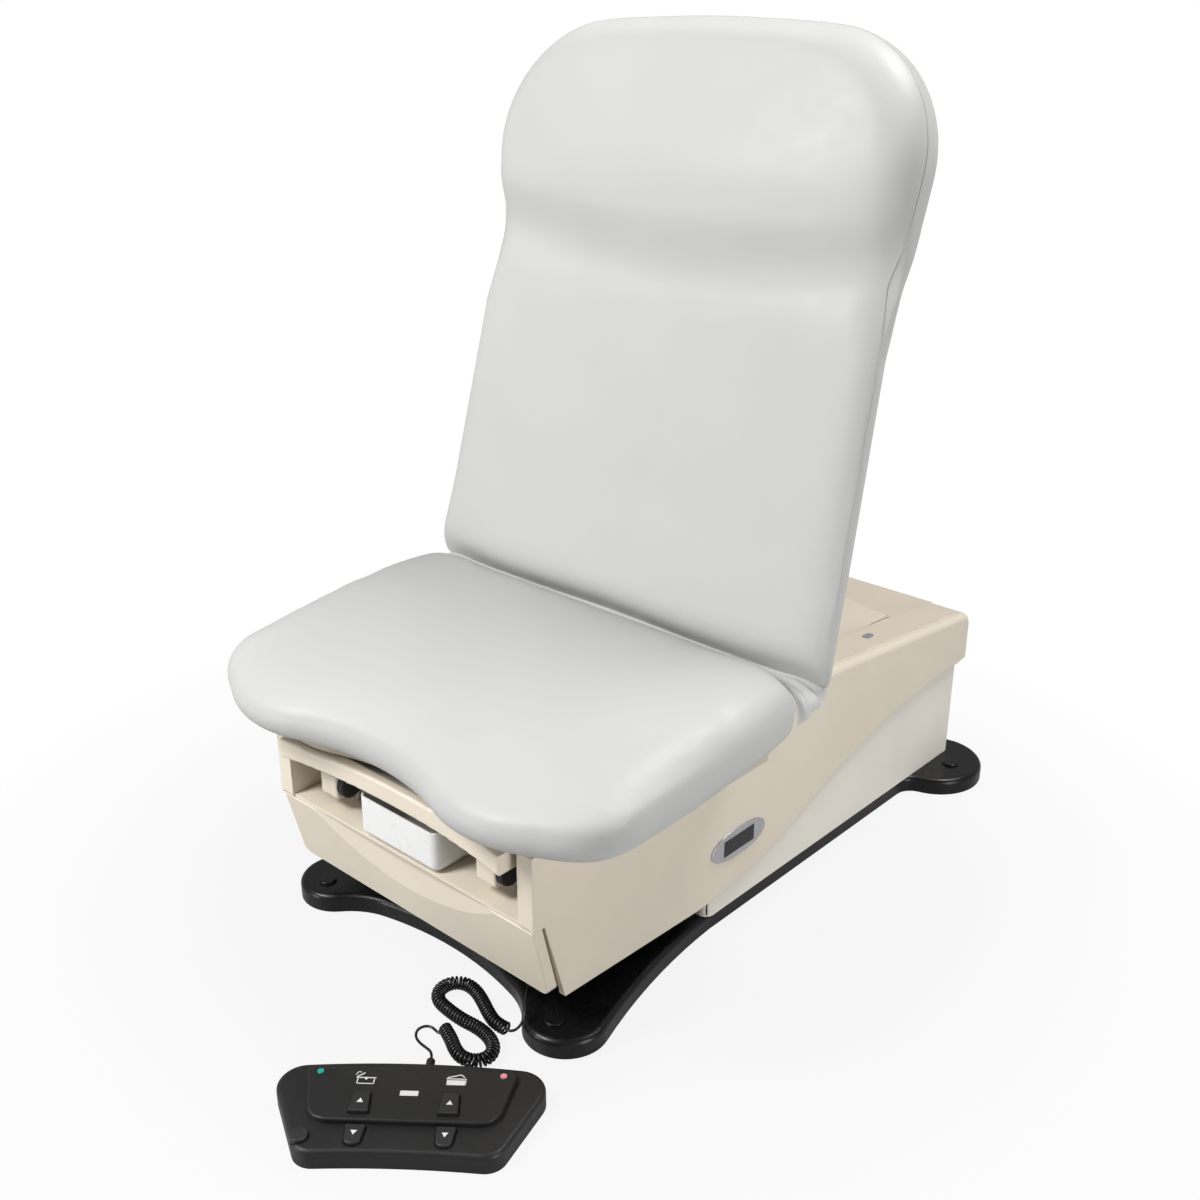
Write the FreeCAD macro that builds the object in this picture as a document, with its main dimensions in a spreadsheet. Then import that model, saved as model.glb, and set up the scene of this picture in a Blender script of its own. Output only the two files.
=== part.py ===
import FreeCAD, Part
import math
import os
import re
import Sketcher
from FreeCAD import Placement, Rotation, Vector

# Powered examination table: a low base on four levelling feet, two telescopic lifting columns inside
# nested covers, a lifted body with side shrouds, and an upholstered seat and back on a cross shaft.
# X runs across the table, Y from the foot end to the head end, Z up from the floor. Lengths along the
# table are measured from the front faces of the side shrouds and moved to the origin at the end.

SIZES = {
    "origin_y": 413.37,
    # upholstery
    "top_width": 813,
    "back_narrow": 1,
    "seat_thick": 121,
    "seat_round": 31,
    "seat_blend": 50,
    "seat_under": 26,
    "seat_crown_y": 400,
    "seat_crown": 1900,
    "crease_y": 451,
    "crease_drop": 23,
    "crease_gap": 6,
    "lobe_in_x": 140,
    "lobe_out_x": 330,
    "lobe_in_y": 62,
    "lobe_out_y": 42,
    "lobe_bulge": 202,
    "dip_bulge": 420,
    "corner_y": 60,
    "corner_bulge": 112,
    "back_angle": 75,
    "back_lap": 15,
    "back_rear": 54,
    "back_front": 24,
    "back_roll": 66,
    "back_round": 26,
    "back_rear_round": 50,
    "back_taper": 28,
    "head_y": 582,
    "head_gap": 3,
    "head_front": 36,
    "head_round": 50,
    "head_rear_round": 34,
    "head_flare": 30,
    "head_corner_y": 872,
    "head_corner": 190,
    "head_top_bulge": 2540,
    # seat support
    "ply_thick": 24,
    "ply_inset": 62,
    "ply_rear": 9,
    "shell_thick": 8,
    "shell_inset": 58,
    "shell_top": 110,
    "shell_low": 6,
    "shell_round": 60,
    # heights of the lifted body, from the floor up
    "skirt_front_z": 94,
    "skirt_rear_z": 70,
    "drawer_z": 96,
    "drawer_height": 120,
    "shelf_thick": 5,
    "bay_height": 79,
    "lip_thick": 5.5,
    "slide_gap": 0.5,
    "board_thick": 16,
    "board_room": 11,
    "plate_gap": 2,
    "plate_thick": 8,
    # side shrouds
    "shroud_half": 273,
    "shroud_wall": 4,
    "cheek_in": 245,
    "drawer_seam": 2.5,
    "panel_inset": 3,
    "rake_y": 31,
    "flare_out": 8,
    "skirt_y": 352,
    "curve_share": 0.353,
    "curve_end_gap": 37,
    "curve_end_z": 220,
    "curve_end_rise": 5,
    "body_rear_y": 1137,
    "wing_y": 566,
    "wing_slope_y": 690,
    "wing_drop": 121,
    "wing_fall": 46,
    "wing_width": 80,
    "wing_round": 12,
    "rear_round": 26,
    "lid_thick": 2,
    "lid_inset": 9,
    "cowl_set": 146,
    "cowl_long": 169,
    "cowl_rise": 42,
    "cowl_bulge": 1500,
    "cowl_wall": 4,
    "cowl_gap": 1,
    "cowl_round": 18,
    "apron_gap": 8,
    # base
    "base_height": 32,
    "pad_height": 3,
    "pad_radius": 22,
    "pad_edge": 1,
    "stud_radius": 6,
    "base_round": 9,
    "lobe_blend": 34,
    "front_blend": 120,
    "lobe_in_angle": 15,
    "lobe_out_angle": 20,
    "waist_bulge": 1120,
    "base_wall": 4,
    "front_lobe_x": 254,
    "front_lobe_y": 80,
    "front_lobe": 63,
    "rear_lobe_x": 260,
    "rear_lobe_gap": 67,
    "rear_lobe": 88,
    "waist_x": 258,
    "waist_y": 400,
    "front_edge_y": 98,
    "front_edge_bulge": 560,
    "rear_edge_bulge": 1300,
    "front_foot_y": 56,
    "rear_foot_x": 296,
    "cap_radius": 14,
    "cap_height": 4,
    "cap_edge": 2,
    "chassis_thick": 8,
    "chassis_half": 200,
    "ear_half": 29,
    "ear_reach": 16,
    "bar_back": 24,
    "ear_long": 40,
    "ear_taper": 20,
    "rear_ear": 20,
    "rear_ear_deep": 30,
    "rear_ear_taper": 10,
    "hump_half": 232,
    "hump_y": 128,
    "hump_height": 34,
    "hump_round": 20,
    # nested covers
    "cover_half": 264,
    "cover_front_y": 385,
    "cover_rear_gap": 17,
    "cover_wall": 4,
    "cover_gap": 2.5,
    "cover_round": 16,
    "flange_width": 22,
    "flange_thick": 3,
    "cover_clear": 6,
    # lifting columns
    "column_wide": 140,
    "column_deep": 110,
    "column_wall": 4,
    "column_gap": 1.5,
    "column_step": 2,
    "column_front_y": 520,
    "column_rear_gap": 177,
    "gear_long": 60,
    "gear_wide": 64,
    "gear_high": 72,
    "gear_round": 6,
    "motor_radius": 27,
    "motor_long": 84,
    # hinge of the back
    "hinge_y": 491,
    "hinge_drop": 73,
    "shaft_radius": 9,
    "shaft_play": 0.05,
    "boss_radius": 15,
    "bracket_x": 150,
    "bracket_thick": 8,
    "bracket_foot": 46,
    "arm_gap": 4,
    "arm_depth": 30,
    "arm_reach": 380,
    "arm_taper": 60,
    "arm_heel": 10,
    "gearbox_half": 50,
    "gearbox_front": 40,
    "gearbox_rear": 12,
    "gearbox_over": 13,
    "gearbox_round": 8,
    "motor_back": 12,
    "motor_lift": 2,
    "tilt_motor_radius": 30,
    "tilt_motor_long": 72,
    # drawer
    "front_thick": 18,
    "drawer_wall": 6,
    "drawer_back_gap": 12,
    "drawer_side": 226,
    "drawer_low": 6,
    "drawer_rim": 14,
    "runner_thick": 6,
    "runner_height": 18,
    "runner_gap": 0.6,
    "runner_drop": 6,
    "runner_front": 4,
    "guide_drop": 6,
    "guide_start": 10,
    "guide_thick": 8,
    "scoop_width": 200,
    "scoop_drop": 62,
    "scoop_depth": 13,
    "front_corner": 14,
    "front_edge": 2.5,
    "front_gap": 1,
    # pull-out leg board
    "guide_web": 18.5,
    "board_long": 438,
    "guide_lip": 14,
    "guide_front": 4,
    "bar_over": 8,
    "bar_end_y": 24,
    "bar_rear_y": 10,
    "bar_bulge": 1370,
    "bar_low": 5,
    "bar_high": 25,
    "bar_edge": 4,
    # treatment pan
    "pan_half": 84,
    "pan_long": 330,
    "pan_height": 62,
    "pan_wall": 3,
    "pan_round": 14,
    "pan_edge": 8,
    "rail_height": 3,
    "rail_width": 14,
    "rail_inset": 10,
    "rail_start": 12,
    # stirrups
    "stirrup_x": 170,
    "stirrup_bar": 22,
    "stirrup_z": 32,
    "stirrup_end_y": 368,
    "sleeve_wall": 3,
    "sleeve_gap": 0.5,
    "sleeve_long": 318,
    "foot_half": 20,
    "foot_low": 10,
    "foot_high": 30,
    "foot_front_y": 13,
    "foot_deep": 30,
    "foot_edge": 5,
    "pivot_radius": 19,
    "pivot_thick": 13,
    "pivot_edge": 3,
    "bay_back_gap": 7,
    "bay_wall": 4,
    "shelf_front": 3,
    # foot control
    "control_x": 220,
    "control_y": 184,
    "control_turn": 40,
    "control_height": 28,
    "control_round": 7,
    "control_back_x": 196,
    "control_back_v": 62,
    "control_front_v": 93,
    "control_front_x": 128,
    "control_back_bulge": 1380,
    "control_front_bulge": 1500,
    "control_corner": 38,
    "control_toe": 30,
    "key_pad_half": 142,
    "key_pad_low": 122,
    "key_pad_back": 54,
    "key_pad_front": 42,
    "key_pad_height": 8,
    "key_pad_round": 30,
    "key_pad_corner": 8,
    "key_pad_edge": 3,
    "key_x": 58,
    "key_up_v": 13,
    "key_down_v": 64,
    "key_half": 13,
    "key_deep": 18,
    "key_taper": 0.8,
    "key_tip": 0.9,
    "key_rise": 5,
    "key_play": 1,
    "key_well": 6,
    "key_seat": 3,
    "key_clear": 5,
    "key_corner": 3,
    "key_edge": 1.5,
    "home_x": 127,
    "home_v": 66,
    "home_radius": 12,
    "lens_x": 122,
    "lens_v": 43,
    "lens_radius": 4.5,
    "lens_rise": 1.5,
    # cord of the foot control
    "coil_diameter": 19,
    "lead_diameter": 4.5,
    "lead_straight": 16,
    "run_share": 0.45,
    "relief_long": 22,
    "relief_radius": 6,
    "relief_edge": 2,
    "relief_sink": 0.5,
    "relief_x": 16,
    "relief_z": 12,
    "socket_radius": 9,
    "socket_long": 18,
    "socket_x": 176,
    "socket_z": 53,
    "socket_edge": 2,
    "inlet_wide": 50,
    "inlet_high": 32,
    "inlet_z": 70,
    "inlet_deep": 3,
    "inlet_rim_x": 8,
    "inlet_rim_z": 6,
    "inlet_floor": 1,
    # overshoot of cuts and overlap of joined pads
    "cut_over": 1,
    "cut_far": 10,
}

# Heights stacked from the drawer's bottom edge up to the top of the seat
SHELF_LOW = "(drawer_z + drawer_height)"
SHELF_TOP = f"({SHELF_LOW} + shelf_thick)"
BAY_TOP = f"({SHELF_TOP} + bay_height)"
BOARD_LOW = f"({BAY_TOP} + lip_thick + slide_gap)"
BOARD_TOP = f"({BOARD_LOW} + board_thick)"
PLY_LOW = f"({BOARD_TOP} + board_room)"
SEAT_LOW = f"({PLY_LOW} + ply_thick)"
SEAT_TOP = f"({SEAT_LOW} + seat_thick)"
PLATE_TOP = f"({BOARD_LOW} - plate_gap)"
PLATE_LOW = f"({PLATE_TOP} - plate_thick)"
CREASE_Z = f"({SEAT_TOP} - crease_drop)"
HINGE_Z = f"({SEAT_TOP} - hinge_drop)"
WING_TOP = f"({SEAT_TOP} - wing_drop)"
WING_IN = "(shroud_half - wing_width)"
SHROUD_IN = "(shroud_half - shroud_wall)"
BASE_TOP = "base_height"
CHASSIS_TOP = f"({BASE_TOP} - base_wall)"
CHASSIS_LOW = f"({CHASSIS_TOP} - chassis_thick)"
BAY_BACK = "(cover_front_y - bay_back_gap)"
COVER_REAR = "(body_rear_y - cover_rear_gap)"
REAR_LOBE_Y = "(body_rear_y - rear_lobe_gap)"
CURVE_END_Y = "(body_rear_y - curve_end_gap)"
COLUMN_Y = {"front": "column_front_y", "rear": "(body_rear_y - column_rear_gap)"}
# Half widths of the drawer front, which covers the fronts of the shrouds, and of the leg board
DRAWER_HALF = "(shroud_half - panel_inset)"
BOARD_HALF = "(cheek_in - guide_web - slide_gap)"
# Hinge axis in the back's own frame: along the back from the crease, and below its front surface
HINGE_S = f"((hinge_y - crease_y) * cos(back_angle) + ({HINGE_Z} - {CREASE_Z}) * sin(back_angle))"
HINGE_D = f"((hinge_y - crease_y) * sin(back_angle) - ({HINGE_Z} - {CREASE_Z}) * cos(back_angle))"
BACK_HALF = "(top_width / 2 - back_narrow)"
NECK_HALF = f"({BACK_HALF} - back_taper)"

FUNCTIONS = {"sin", "cos", "tan", "sqrt"}
# Two places closer than this are the same place, and an edge or a cut less than this is none
NEAR = 0.01
LEAST = 1

doc = FreeCAD.newDocument("examination_table")
sheet = doc.addObject("Spreadsheet::Sheet", "Dims")
for row, (alias, number) in enumerate(SIZES.items(), start=1):
    sheet.set(f"A{row}", alias)
    sheet.set(f"B{row}", str(number))
    sheet.setAlias(f"B{row}", alias)
doc.recompute()

nodes = []
cuts = []


def ex(text):
    """Turn size names into references to the sheet."""
    def refer(match):
        word = match.group(0)
        return word if word in FUNCTIONS else "Dims." + word

    return re.sub(r"[a-z][a-z_0-9]*", refer, str(text))


def val(text):
    return float(sheet.evalExpression(ex(text)))


def bind(obj, prop, text):
    obj.setExpression(prop, ex(text))


def keep(obj, name):
    obj.Label = name
    nodes.append((name, obj))
    return obj


def new_body(name, kept=True):
    """A body in the table's frame, moved so that the origin lies under its middle."""
    body = doc.addObject("PartDesign::Body", name)
    bind(body, "Placement.Base.y", "-origin_y")
    if kept:
        keep(body, name)
    return body


def place_on_back(body):
    """Stand a body drawn flat, with its front surface up, at the back's rest angle on the crease."""
    body.Placement = Placement(Vector(0, 0, 0), Rotation(Vector(1, 0, 0), val("back_angle")))
    bind(body, "Placement.Base.y", "crease_y - origin_y")
    bind(body, "Placement.Base.z", CREASE_Z)
    bind(body, "Placement.Rotation.Angle", "back_angle")


def place_on_control(body):
    """Turn a body drawn square to the axes to where the foot control lies."""
    body.Placement = Placement(Vector(0, 0, 0), Rotation(Vector(0, 0, 1), val("control_turn")))
    bind(body, "Placement.Base.x", "control_x")
    bind(body, "Placement.Base.y", "-control_y - origin_y")
    bind(body, "Placement.Rotation.Angle", "control_turn")


def arc_centre(p, q, radius, side):
    """Centre of the minor arc from p to q; side 1 bulges to the right of travel, -1 to the left."""
    chord = q - p
    half = chord.Length / 2
    away = math.sqrt(max(radius * radius - half * half, 0.0))
    left = Vector(-chord.y, chord.x, 0).normalize()
    return (p + q) * 0.5 + left * (away * side)


def ring(sketch, circle):
    """A whole circle, held by its centre and radius."""
    u, v = circle["centre"]
    shape = Part.Circle(Vector(val(u), val(v), 0), Vector(0, 0, 1), val(circle["radius"]))
    index = sketch.addGeometry(shape)
    for kind, text in (("DistanceX", u), ("DistanceY", v)):
        number = sketch.addConstraint(Sketcher.Constraint(kind, -1, 1, index, 3, val(text)))
        bind(sketch, f"Constraints[{number}]", text)
    number = sketch.addConstraint(Sketcher.Constraint("Radius", index, val(circle["radius"])))
    bind(sketch, f"Constraints[{number}]", circle["radius"])


def outline(sketch, points):
    """Closed loop of lines and arcs. A point is (u, v) or (u, v, radius, side) for an arc to the next."""
    first = sketch.GeometryCount
    spots = [Vector(val(p[0]), val(p[1]), 0) for p in points]
    ends = []
    for i, point in enumerate(points):
        p = spots[i]
        q = spots[(i + 1) % len(points)]
        if len(point) == 2:
            sketch.addGeometry(Part.LineSegment(p, q))
            ends.append((1, 2))
            continue
        radius = val(point[2])
        centre = arc_centre(p, q, radius, point[3])
        start, stop = (p, q) if point[3] > 0 else (q, p)
        circle = Part.Circle(centre, Vector(0, 0, 1), radius)
        angle_start = math.atan2(start.y - centre.y, start.x - centre.x)
        angle_stop = math.atan2(stop.y - centre.y, stop.x - centre.x)
        if angle_stop < angle_start:
            angle_stop += 2 * math.pi
        sketch.addGeometry(Part.ArcOfCircle(circle, angle_start, angle_stop))
        ends.append((1, 2) if point[3] > 0 else (2, 1))
    count = len(points)
    for i in range(count):
        after = (i + 1) % count
        joint = Sketcher.Constraint("Coincident", first + i, ends[i][1], first + after, ends[after][0])
        sketch.addConstraint(joint)
    for i, point in enumerate(points):
        places = (("DistanceX", point[0], spots[i].x), ("DistanceY", point[1], spots[i].y))
        for kind, text, number in places:
            index = sketch.addConstraint(Sketcher.Constraint(kind, -1, 1, first + i, ends[i][0], number))
            bind(sketch, f"Constraints[{index}]", text)
        if len(point) > 2:
            index = sketch.addConstraint(Sketcher.Constraint("Radius", first + i, val(point[2])))
            bind(sketch, f"Constraints[{index}]", point[2])


def new_sketch(body, role, offset, *loops):
    sketch = body.newObject("Sketcher::SketchObject", body.Name + "_sketch")
    support = [o for o in body.Origin.OriginFeatures if o.Role == role][0]
    sketch.AttachmentSupport = [(support, "")]
    sketch.MapMode = "FlatFace"
    bind(sketch, "AttachmentOffset.Base.z", offset)
    for loop in loops:
        if isinstance(loop, dict):
            ring(sketch, loop)
        else:
            outline(sketch, loop)
    return sketch


def pad(body, role, offset, length, *loops):
    """Extrude loops along the plane's normal from the offset."""
    feature = body.newObject("PartDesign::Pad", body.Name + "_pad")
    feature.Profile = new_sketch(body, role, offset, *loops)
    bind(feature, "Length", length)
    return feature


def pocket(body, role, offset, length, *loops):
    """Cut loops along the plane's normal from the offset."""
    before = body.Tip
    sketch = new_sketch(body, role, offset, *loops)
    feature = body.newObject("PartDesign::Pocket", body.Name + "_pocket")
    feature.Profile = sketch
    feature.Reversed = True
    bind(feature, "Length", length)
    cuts.append((before, feature))
    return feature


def round_edges(body, radius, test, kind="Fillet"):
    """Round the edges of the body so far that pass the test."""
    doc.recompute()
    base = body.Tip
    names = [f"Edge{i}" for i, edge in enumerate(base.Shape.Edges, start=1) if test(edge)]
    feature = body.newObject("PartDesign::" + kind, body.Name + "_round")
    feature.Base = (base, names)
    bind(feature, "Radius" if kind == "Fillet" else "Size", radius)
    return feature


def hollow(body, wall, test):
    """Leave a wall of the given thickness, open at the faces that pass the test."""
    doc.recompute()
    base = body.Tip
    names = [f"Face{i}" for i, face in enumerate(base.Shape.Faces, start=1) if test(face)]
    feature = body.newObject("PartDesign::Thickness", body.Name + "_hollow")
    feature.Base = (base, names)
    feature.Reversed = True
    bind(feature, "Value", wall)
    return feature


def rect(u0, u1, v0, v1):
    return [(u0, v0), (u1, v0), (u1, v1), (u0, v1)]


def disc(u, v, radius):
    """A whole circle: its centre and radius."""
    return {"centre": (u, v), "radius": radius}


def level(edge, height):
    box = edge.BoundBox
    return abs(box.ZMin - height) < NEAR and abs(box.ZMax - height) < NEAR


def upright(edge):
    box = edge.BoundBox
    return box.ZLength > LEAST and box.XLength < NEAR and box.YLength < NEAR


def mirror(source, name, kept=True):
    copy = doc.addObject("Part::Mirroring", name)
    copy.Source = source
    copy.Normal = Vector(1, 0, 0)
    if kept:
        keep(copy, name)
    return copy


def group(name, *members):
    bundle = doc.addObject("Part::Compound", name)
    bundle.Links = list(members)
    return keep(bundle, name)


# Base moulding: a low black shell with a lobe over each levelling foot and a raised part at the foot end
moulding = new_body("base_moulding")
FRONT_IN = (
    "front_lobe_x - front_lobe * cos(lobe_in_angle)", "front_lobe_y - front_lobe * sin(lobe_in_angle)",
)
FRONT_OUT = (
    "front_lobe_x + front_lobe * cos(lobe_out_angle)", "front_lobe_y + front_lobe * sin(lobe_out_angle)",
)
LOBE_STEP = "(rear_lobe_x - waist_x)"
REAR_IN = ("waist_x", f"{REAR_LOBE_Y} - sqrt(rear_lobe * rear_lobe - {LOBE_STEP} * {LOBE_STEP})")
REAR_OUT = ("rear_lobe_x", f"{REAR_LOBE_Y} + rear_lobe")


def left(point):
    return (f"-({point[0]})",) + tuple(point[1:])


pad(
    moulding, "XY_Plane", "pad_height", f"{BASE_TOP} - pad_height",
    [
        left(FRONT_IN) + ("front_edge_bulge", -1),
        FRONT_IN + ("front_lobe", 1),
        ("front_lobe_x", "front_lobe_y - front_lobe", "front_lobe", 1),
        FRONT_OUT + ("waist_bulge", -1),
        ("waist_x", "waist_y"),
        REAR_IN + ("rear_lobe", 1),
        ("rear_lobe_x + rear_lobe", REAR_LOBE_Y, "rear_lobe", 1),
        REAR_OUT + ("rear_edge_bulge", -1),
        left(REAR_OUT) + ("rear_lobe", 1),
        ("-rear_lobe_x - rear_lobe", REAR_LOBE_Y, "rear_lobe", 1),
        left(REAR_IN),
        ("-waist_x", "waist_y", "waist_bulge", -1),
        left(FRONT_OUT) + ("front_lobe", 1),
        ("-front_lobe_x", "front_lobe_y - front_lobe", "front_lobe", 1),
    ],
)


def stands_at(edge, *places):
    """True for an upright edge over one of the places, on either side of the table."""
    return upright(edge) and any(
        math.hypot(abs(edge.CenterOfMass.x) - val(x), edge.CenterOfMass.y - val(y)) < NEAR for x, y in places
    )


# blend the lobes into the edges between them before the top is rounded
round_edges(moulding, "front_blend", lambda e: stands_at(e, FRONT_IN))
round_edges(moulding, "lobe_blend", lambda e: stands_at(e, FRONT_OUT, REAR_IN, REAR_OUT))
round_edges(moulding, "base_round", lambda e: level(e, val(BASE_TOP)))
pad(
    moulding, "XY_Plane", "pad_height + base_wall", f"{BASE_TOP} + hump_height - pad_height - base_wall",
    rect("-hump_half", "hump_half", "hump_y", "cover_front_y - cover_gap"),
)
HUMP_TOP = f"({BASE_TOP} + hump_height)"
round_edges(
    moulding, "hump_round",
    lambda e: upright(e) and e.BoundBox.ZMax > val(HUMP_TOP) - NEAR
    and abs(abs(e.BoundBox.XMax) - val("hump_half")) < NEAR,
)
round_edges(moulding, "base_round", lambda e: level(e, val(HUMP_TOP)))
hollow(moulding, "base_wall", lambda f: f.BoundBox.ZMax < val("pad_height") + NEAR)
# opening under the covers for the columns and their motors
pocket(
    moulding, "XY_Plane", CHASSIS_TOP, "base_wall + hump_height",
    rect(
        "-(cover_half - flange_width)", "cover_half - flange_width",
        "cover_front_y + flange_width", f"{COVER_REAR} - flange_width",
    ),
)

# Steel chassis plate under the moulding, with an ear at each foot
chassis = new_body("chassis_plate")
EAR_IN = "front_lobe_x - ear_half"
EAR_OUT = "front_lobe_x + ear_half"
BAR_FRONT = "front_edge_y + bar_back"
pad(
    chassis, "XY_Plane", CHASSIS_LOW, "chassis_thick",
    [
        (f"-({EAR_IN})", BAR_FRONT),
        (EAR_IN, BAR_FRONT),
        (EAR_IN, "front_foot_y - ear_reach"),
        (EAR_OUT, "front_foot_y - ear_reach"),
        (EAR_OUT, "front_lobe_y + ear_long"),
        ("chassis_half", "front_lobe_y + ear_long + ear_taper"),
        ("chassis_half", f"{REAR_LOBE_Y} - rear_ear_deep - rear_ear_taper"),
        ("rear_foot_x + rear_ear", f"{REAR_LOBE_Y} - rear_ear_deep"),
        ("rear_foot_x + rear_ear", f"{REAR_LOBE_Y} + rear_ear_deep"),
        ("-rear_foot_x - rear_ear", f"{REAR_LOBE_Y} + rear_ear_deep"),
        ("-rear_foot_x - rear_ear", f"{REAR_LOBE_Y} - rear_ear_deep"),
        ("-chassis_half", f"{REAR_LOBE_Y} - rear_ear_deep - rear_ear_taper"),
        ("-chassis_half", "front_lobe_y + ear_long + ear_taper"),
        (f"-({EAR_OUT})", "front_lobe_y + ear_long"),
        (f"-({EAR_OUT})", "front_foot_y - ear_reach"),
        (f"-({EAR_IN})", "front_foot_y - ear_reach"),
    ],
)

# Levelling feet: a round pad and a stud that screws into the chassis ear, with a cap above on the moulding
feet = []
caps = []
for tag, x, y in (
    ("front_right", "front_lobe_x", "front_foot_y"),
    ("front_left", "-front_lobe_x", "front_foot_y"),
    ("rear_right", "rear_foot_x", REAR_LOBE_Y),
    ("rear_left", "-rear_foot_x", REAR_LOBE_Y),
):
    foot = new_body("foot_" + tag, kept=False)
    pad(foot, "XY_Plane", "0", "pad_height", disc(x, y, "pad_radius"))
    round_edges(foot, "pad_edge", lambda e: level(e, val("pad_height")))
    pad(
        foot, "XY_Plane", "pad_height - cut_over", f"{CHASSIS_LOW} - pad_height + cut_over",
        disc(x, y, "stud_radius"),
    )
    feet.append(foot)
    cap = new_body("cap_" + tag, kept=False)
    pad(cap, "XY_Plane", BASE_TOP, "cap_height", disc(x, y, "cap_radius"))
    round_edges(cap, "cap_edge", lambda e: level(e, val(f"{BASE_TOP} + cap_height")))
    caps.append(cap)
group("levelling_feet", *feet)
group("foot_caps", *caps)


def cover(name, stage, low, top, flange):
    """One of the nested rectangular covers round the columns; each stage fits inside the one before."""
    inset = f"({stage} * (cover_wall + cover_gap))"
    body = new_body(name)
    half = f"cover_half - {inset}"
    front = f"cover_front_y + {inset}"
    rear = f"{COVER_REAR} - {inset}"
    pad(body, "XY_Plane", low, f"({top}) - ({low})", rect(f"-({half})", half, front, rear))
    round_edges(body, "cover_round", upright)
    floor = f"({low}) + flange_thick" if flange else low
    pocket(
        body, "XY_Plane", floor, f"({top}) - ({low})",
        rect(
            f"-({half} - cover_wall)", f"{half} - cover_wall",
            f"{front} + cover_wall", f"{rear} - cover_wall",
        ),
    )
    if flange:
        pocket(
            body, "XY_Plane", low, "flange_thick + cut_over",
            rect(
                f"-({half} - flange_width)", f"{half} - flange_width",
                f"{front} + flange_width", f"{rear} - flange_width",
            ),
        )
    return body


base_cover = cover("base_cover", 0, BASE_TOP, f"{PLATE_LOW} - cover_clear", True)
cover("mid_cover", 1, f"{BASE_TOP} + cover_clear", f"{PLATE_LOW} - cover_clear / 2", False)
cover("inner_cover", 2, f"{BASE_TOP} + 2 * cover_clear", PLATE_LOW, False)


def column(name, y, stage, low, top):
    """One rectangular tube of a telescopic column."""
    inset = f"({stage} * (column_wall + column_gap))"
    wide = f"(column_wide / 2 - {inset})"
    deep = f"(column_deep / 2 - {inset})"
    body = new_body(name)
    pad(
        body, "XY_Plane", low, f"({top}) - ({low})",
        rect(f"-{wide}", wide, f"{y} - {deep}", f"{y} + {deep}"),
        rect(
            f"-({wide} - column_wall)", f"{wide} - column_wall",
            f"{y} - {deep} + column_wall", f"{y} + {deep} - column_wall",
        ),
    )


for end, place in COLUMN_Y.items():
    column(f"column_{end}_outer", place, 0, CHASSIS_TOP, f"{PLATE_LOW} - cover_clear")
    column(f"column_{end}_middle", place, 1, f"{CHASSIS_TOP} + column_step", f"{PLATE_LOW} - cover_clear / 2")
    column(f"column_{end}_inner", place, 2, f"{CHASSIS_TOP} + 2 * column_step", PLATE_LOW)

# Gear motors beside the columns, on the chassis
motors = []
for end, place in COLUMN_Y.items():
    motor = new_body(f"motor_{end}", kept=False)
    pad(
        motor, "XY_Plane", CHASSIS_TOP, "gear_high",
        rect(
            "column_wide / 2", "column_wide / 2 + gear_long",
            f"{place} - gear_wide / 2", f"{place} + gear_wide / 2",
        ),
    )
    round_edges(motor, "gear_round", lambda e: level(e, val(f"{CHASSIS_TOP} + gear_high")))
    pad(
        motor, "YZ_Plane", "column_wide / 2 + gear_long - cut_over", "motor_long",
        disc(place, f"{CHASSIS_TOP} + gear_high / 2", "motor_radius"),
    )
    motors.append(motor)
group("lift_motors", *motors)

# Appliance inlet on the rear of the base cover
inlet = new_body("power_inlet")
pad(
    inlet, "XZ_Plane", f"-{COVER_REAR} - inlet_deep", "inlet_deep",
    rect("-inlet_wide / 2", "inlet_wide / 2", "inlet_z - inlet_high / 2", "inlet_z + inlet_high / 2"),
)
pocket(
    inlet, "XZ_Plane", f"-{COVER_REAR} - inlet_deep", "inlet_deep - inlet_floor",
    rect(
        "-inlet_wide / 2 + inlet_rim_x", "inlet_wide / 2 - inlet_rim_x",
        "inlet_z - inlet_high / 2 + inlet_rim_z", "inlet_z + inlet_high / 2 - inlet_rim_z",
    ),
)

# Carriage plate: top of the columns and covers, held between the side shrouds
plate = new_body("carriage_plate")
pad(
    plate, "XY_Plane", PLATE_LOW, "plate_thick",
    rect(f"-{SHROUD_IN}", SHROUD_IN, f"{BAY_BACK} - bay_wall", "body_rear_y - rear_round"),
)

# Side shroud: one moulding with the front cheek, a skirt with a swept lower edge and a flare at the foot
# end, and a hollow wing that carries on to the head end
shroud = new_body("shroud_right")
CURVE_RISE = "(curve_end_z - skirt_rear_z)"
CURVE_RUN = f"({CURVE_END_Y} - skirt_y)"
CURVE_FULL = f"(({CURVE_RUN} * {CURVE_RUN} + {CURVE_RISE} * {CURVE_RISE}) / (2 * {CURVE_RISE}))"
WING_END = f"({WING_TOP} - wing_fall)"
pad(
    shroud, "YZ_Plane", WING_IN, "wing_width",
    [
        ("0", PLY_LOW),
        ("0", SHELF_TOP),
        ("rake_y", "skirt_front_z"),
        ("skirt_y", "skirt_rear_z", f"curve_share * {CURVE_FULL}", 1),
        (
            f"skirt_y + curve_share * {CURVE_RUN}", f"skirt_rear_z + curve_share * {CURVE_RISE}",
            f"(1 - curve_share) * {CURVE_FULL}", -1,
        ),
        (CURVE_END_Y, "curve_end_z"),
        ("body_rear_y", "curve_end_z + curve_end_rise"),
        ("body_rear_y", WING_END),
        ("wing_slope_y", WING_TOP),
        ("wing_y", WING_TOP),
        ("wing_y", PLY_LOW),
    ],
)
round_edges(
    shroud, "rear_round",
    lambda e: abs(e.CenterOfMass.y - val("body_rear_y")) < NEAR
    and abs(e.CenterOfMass.z - val(WING_END)) < NEAR,
)
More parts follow.
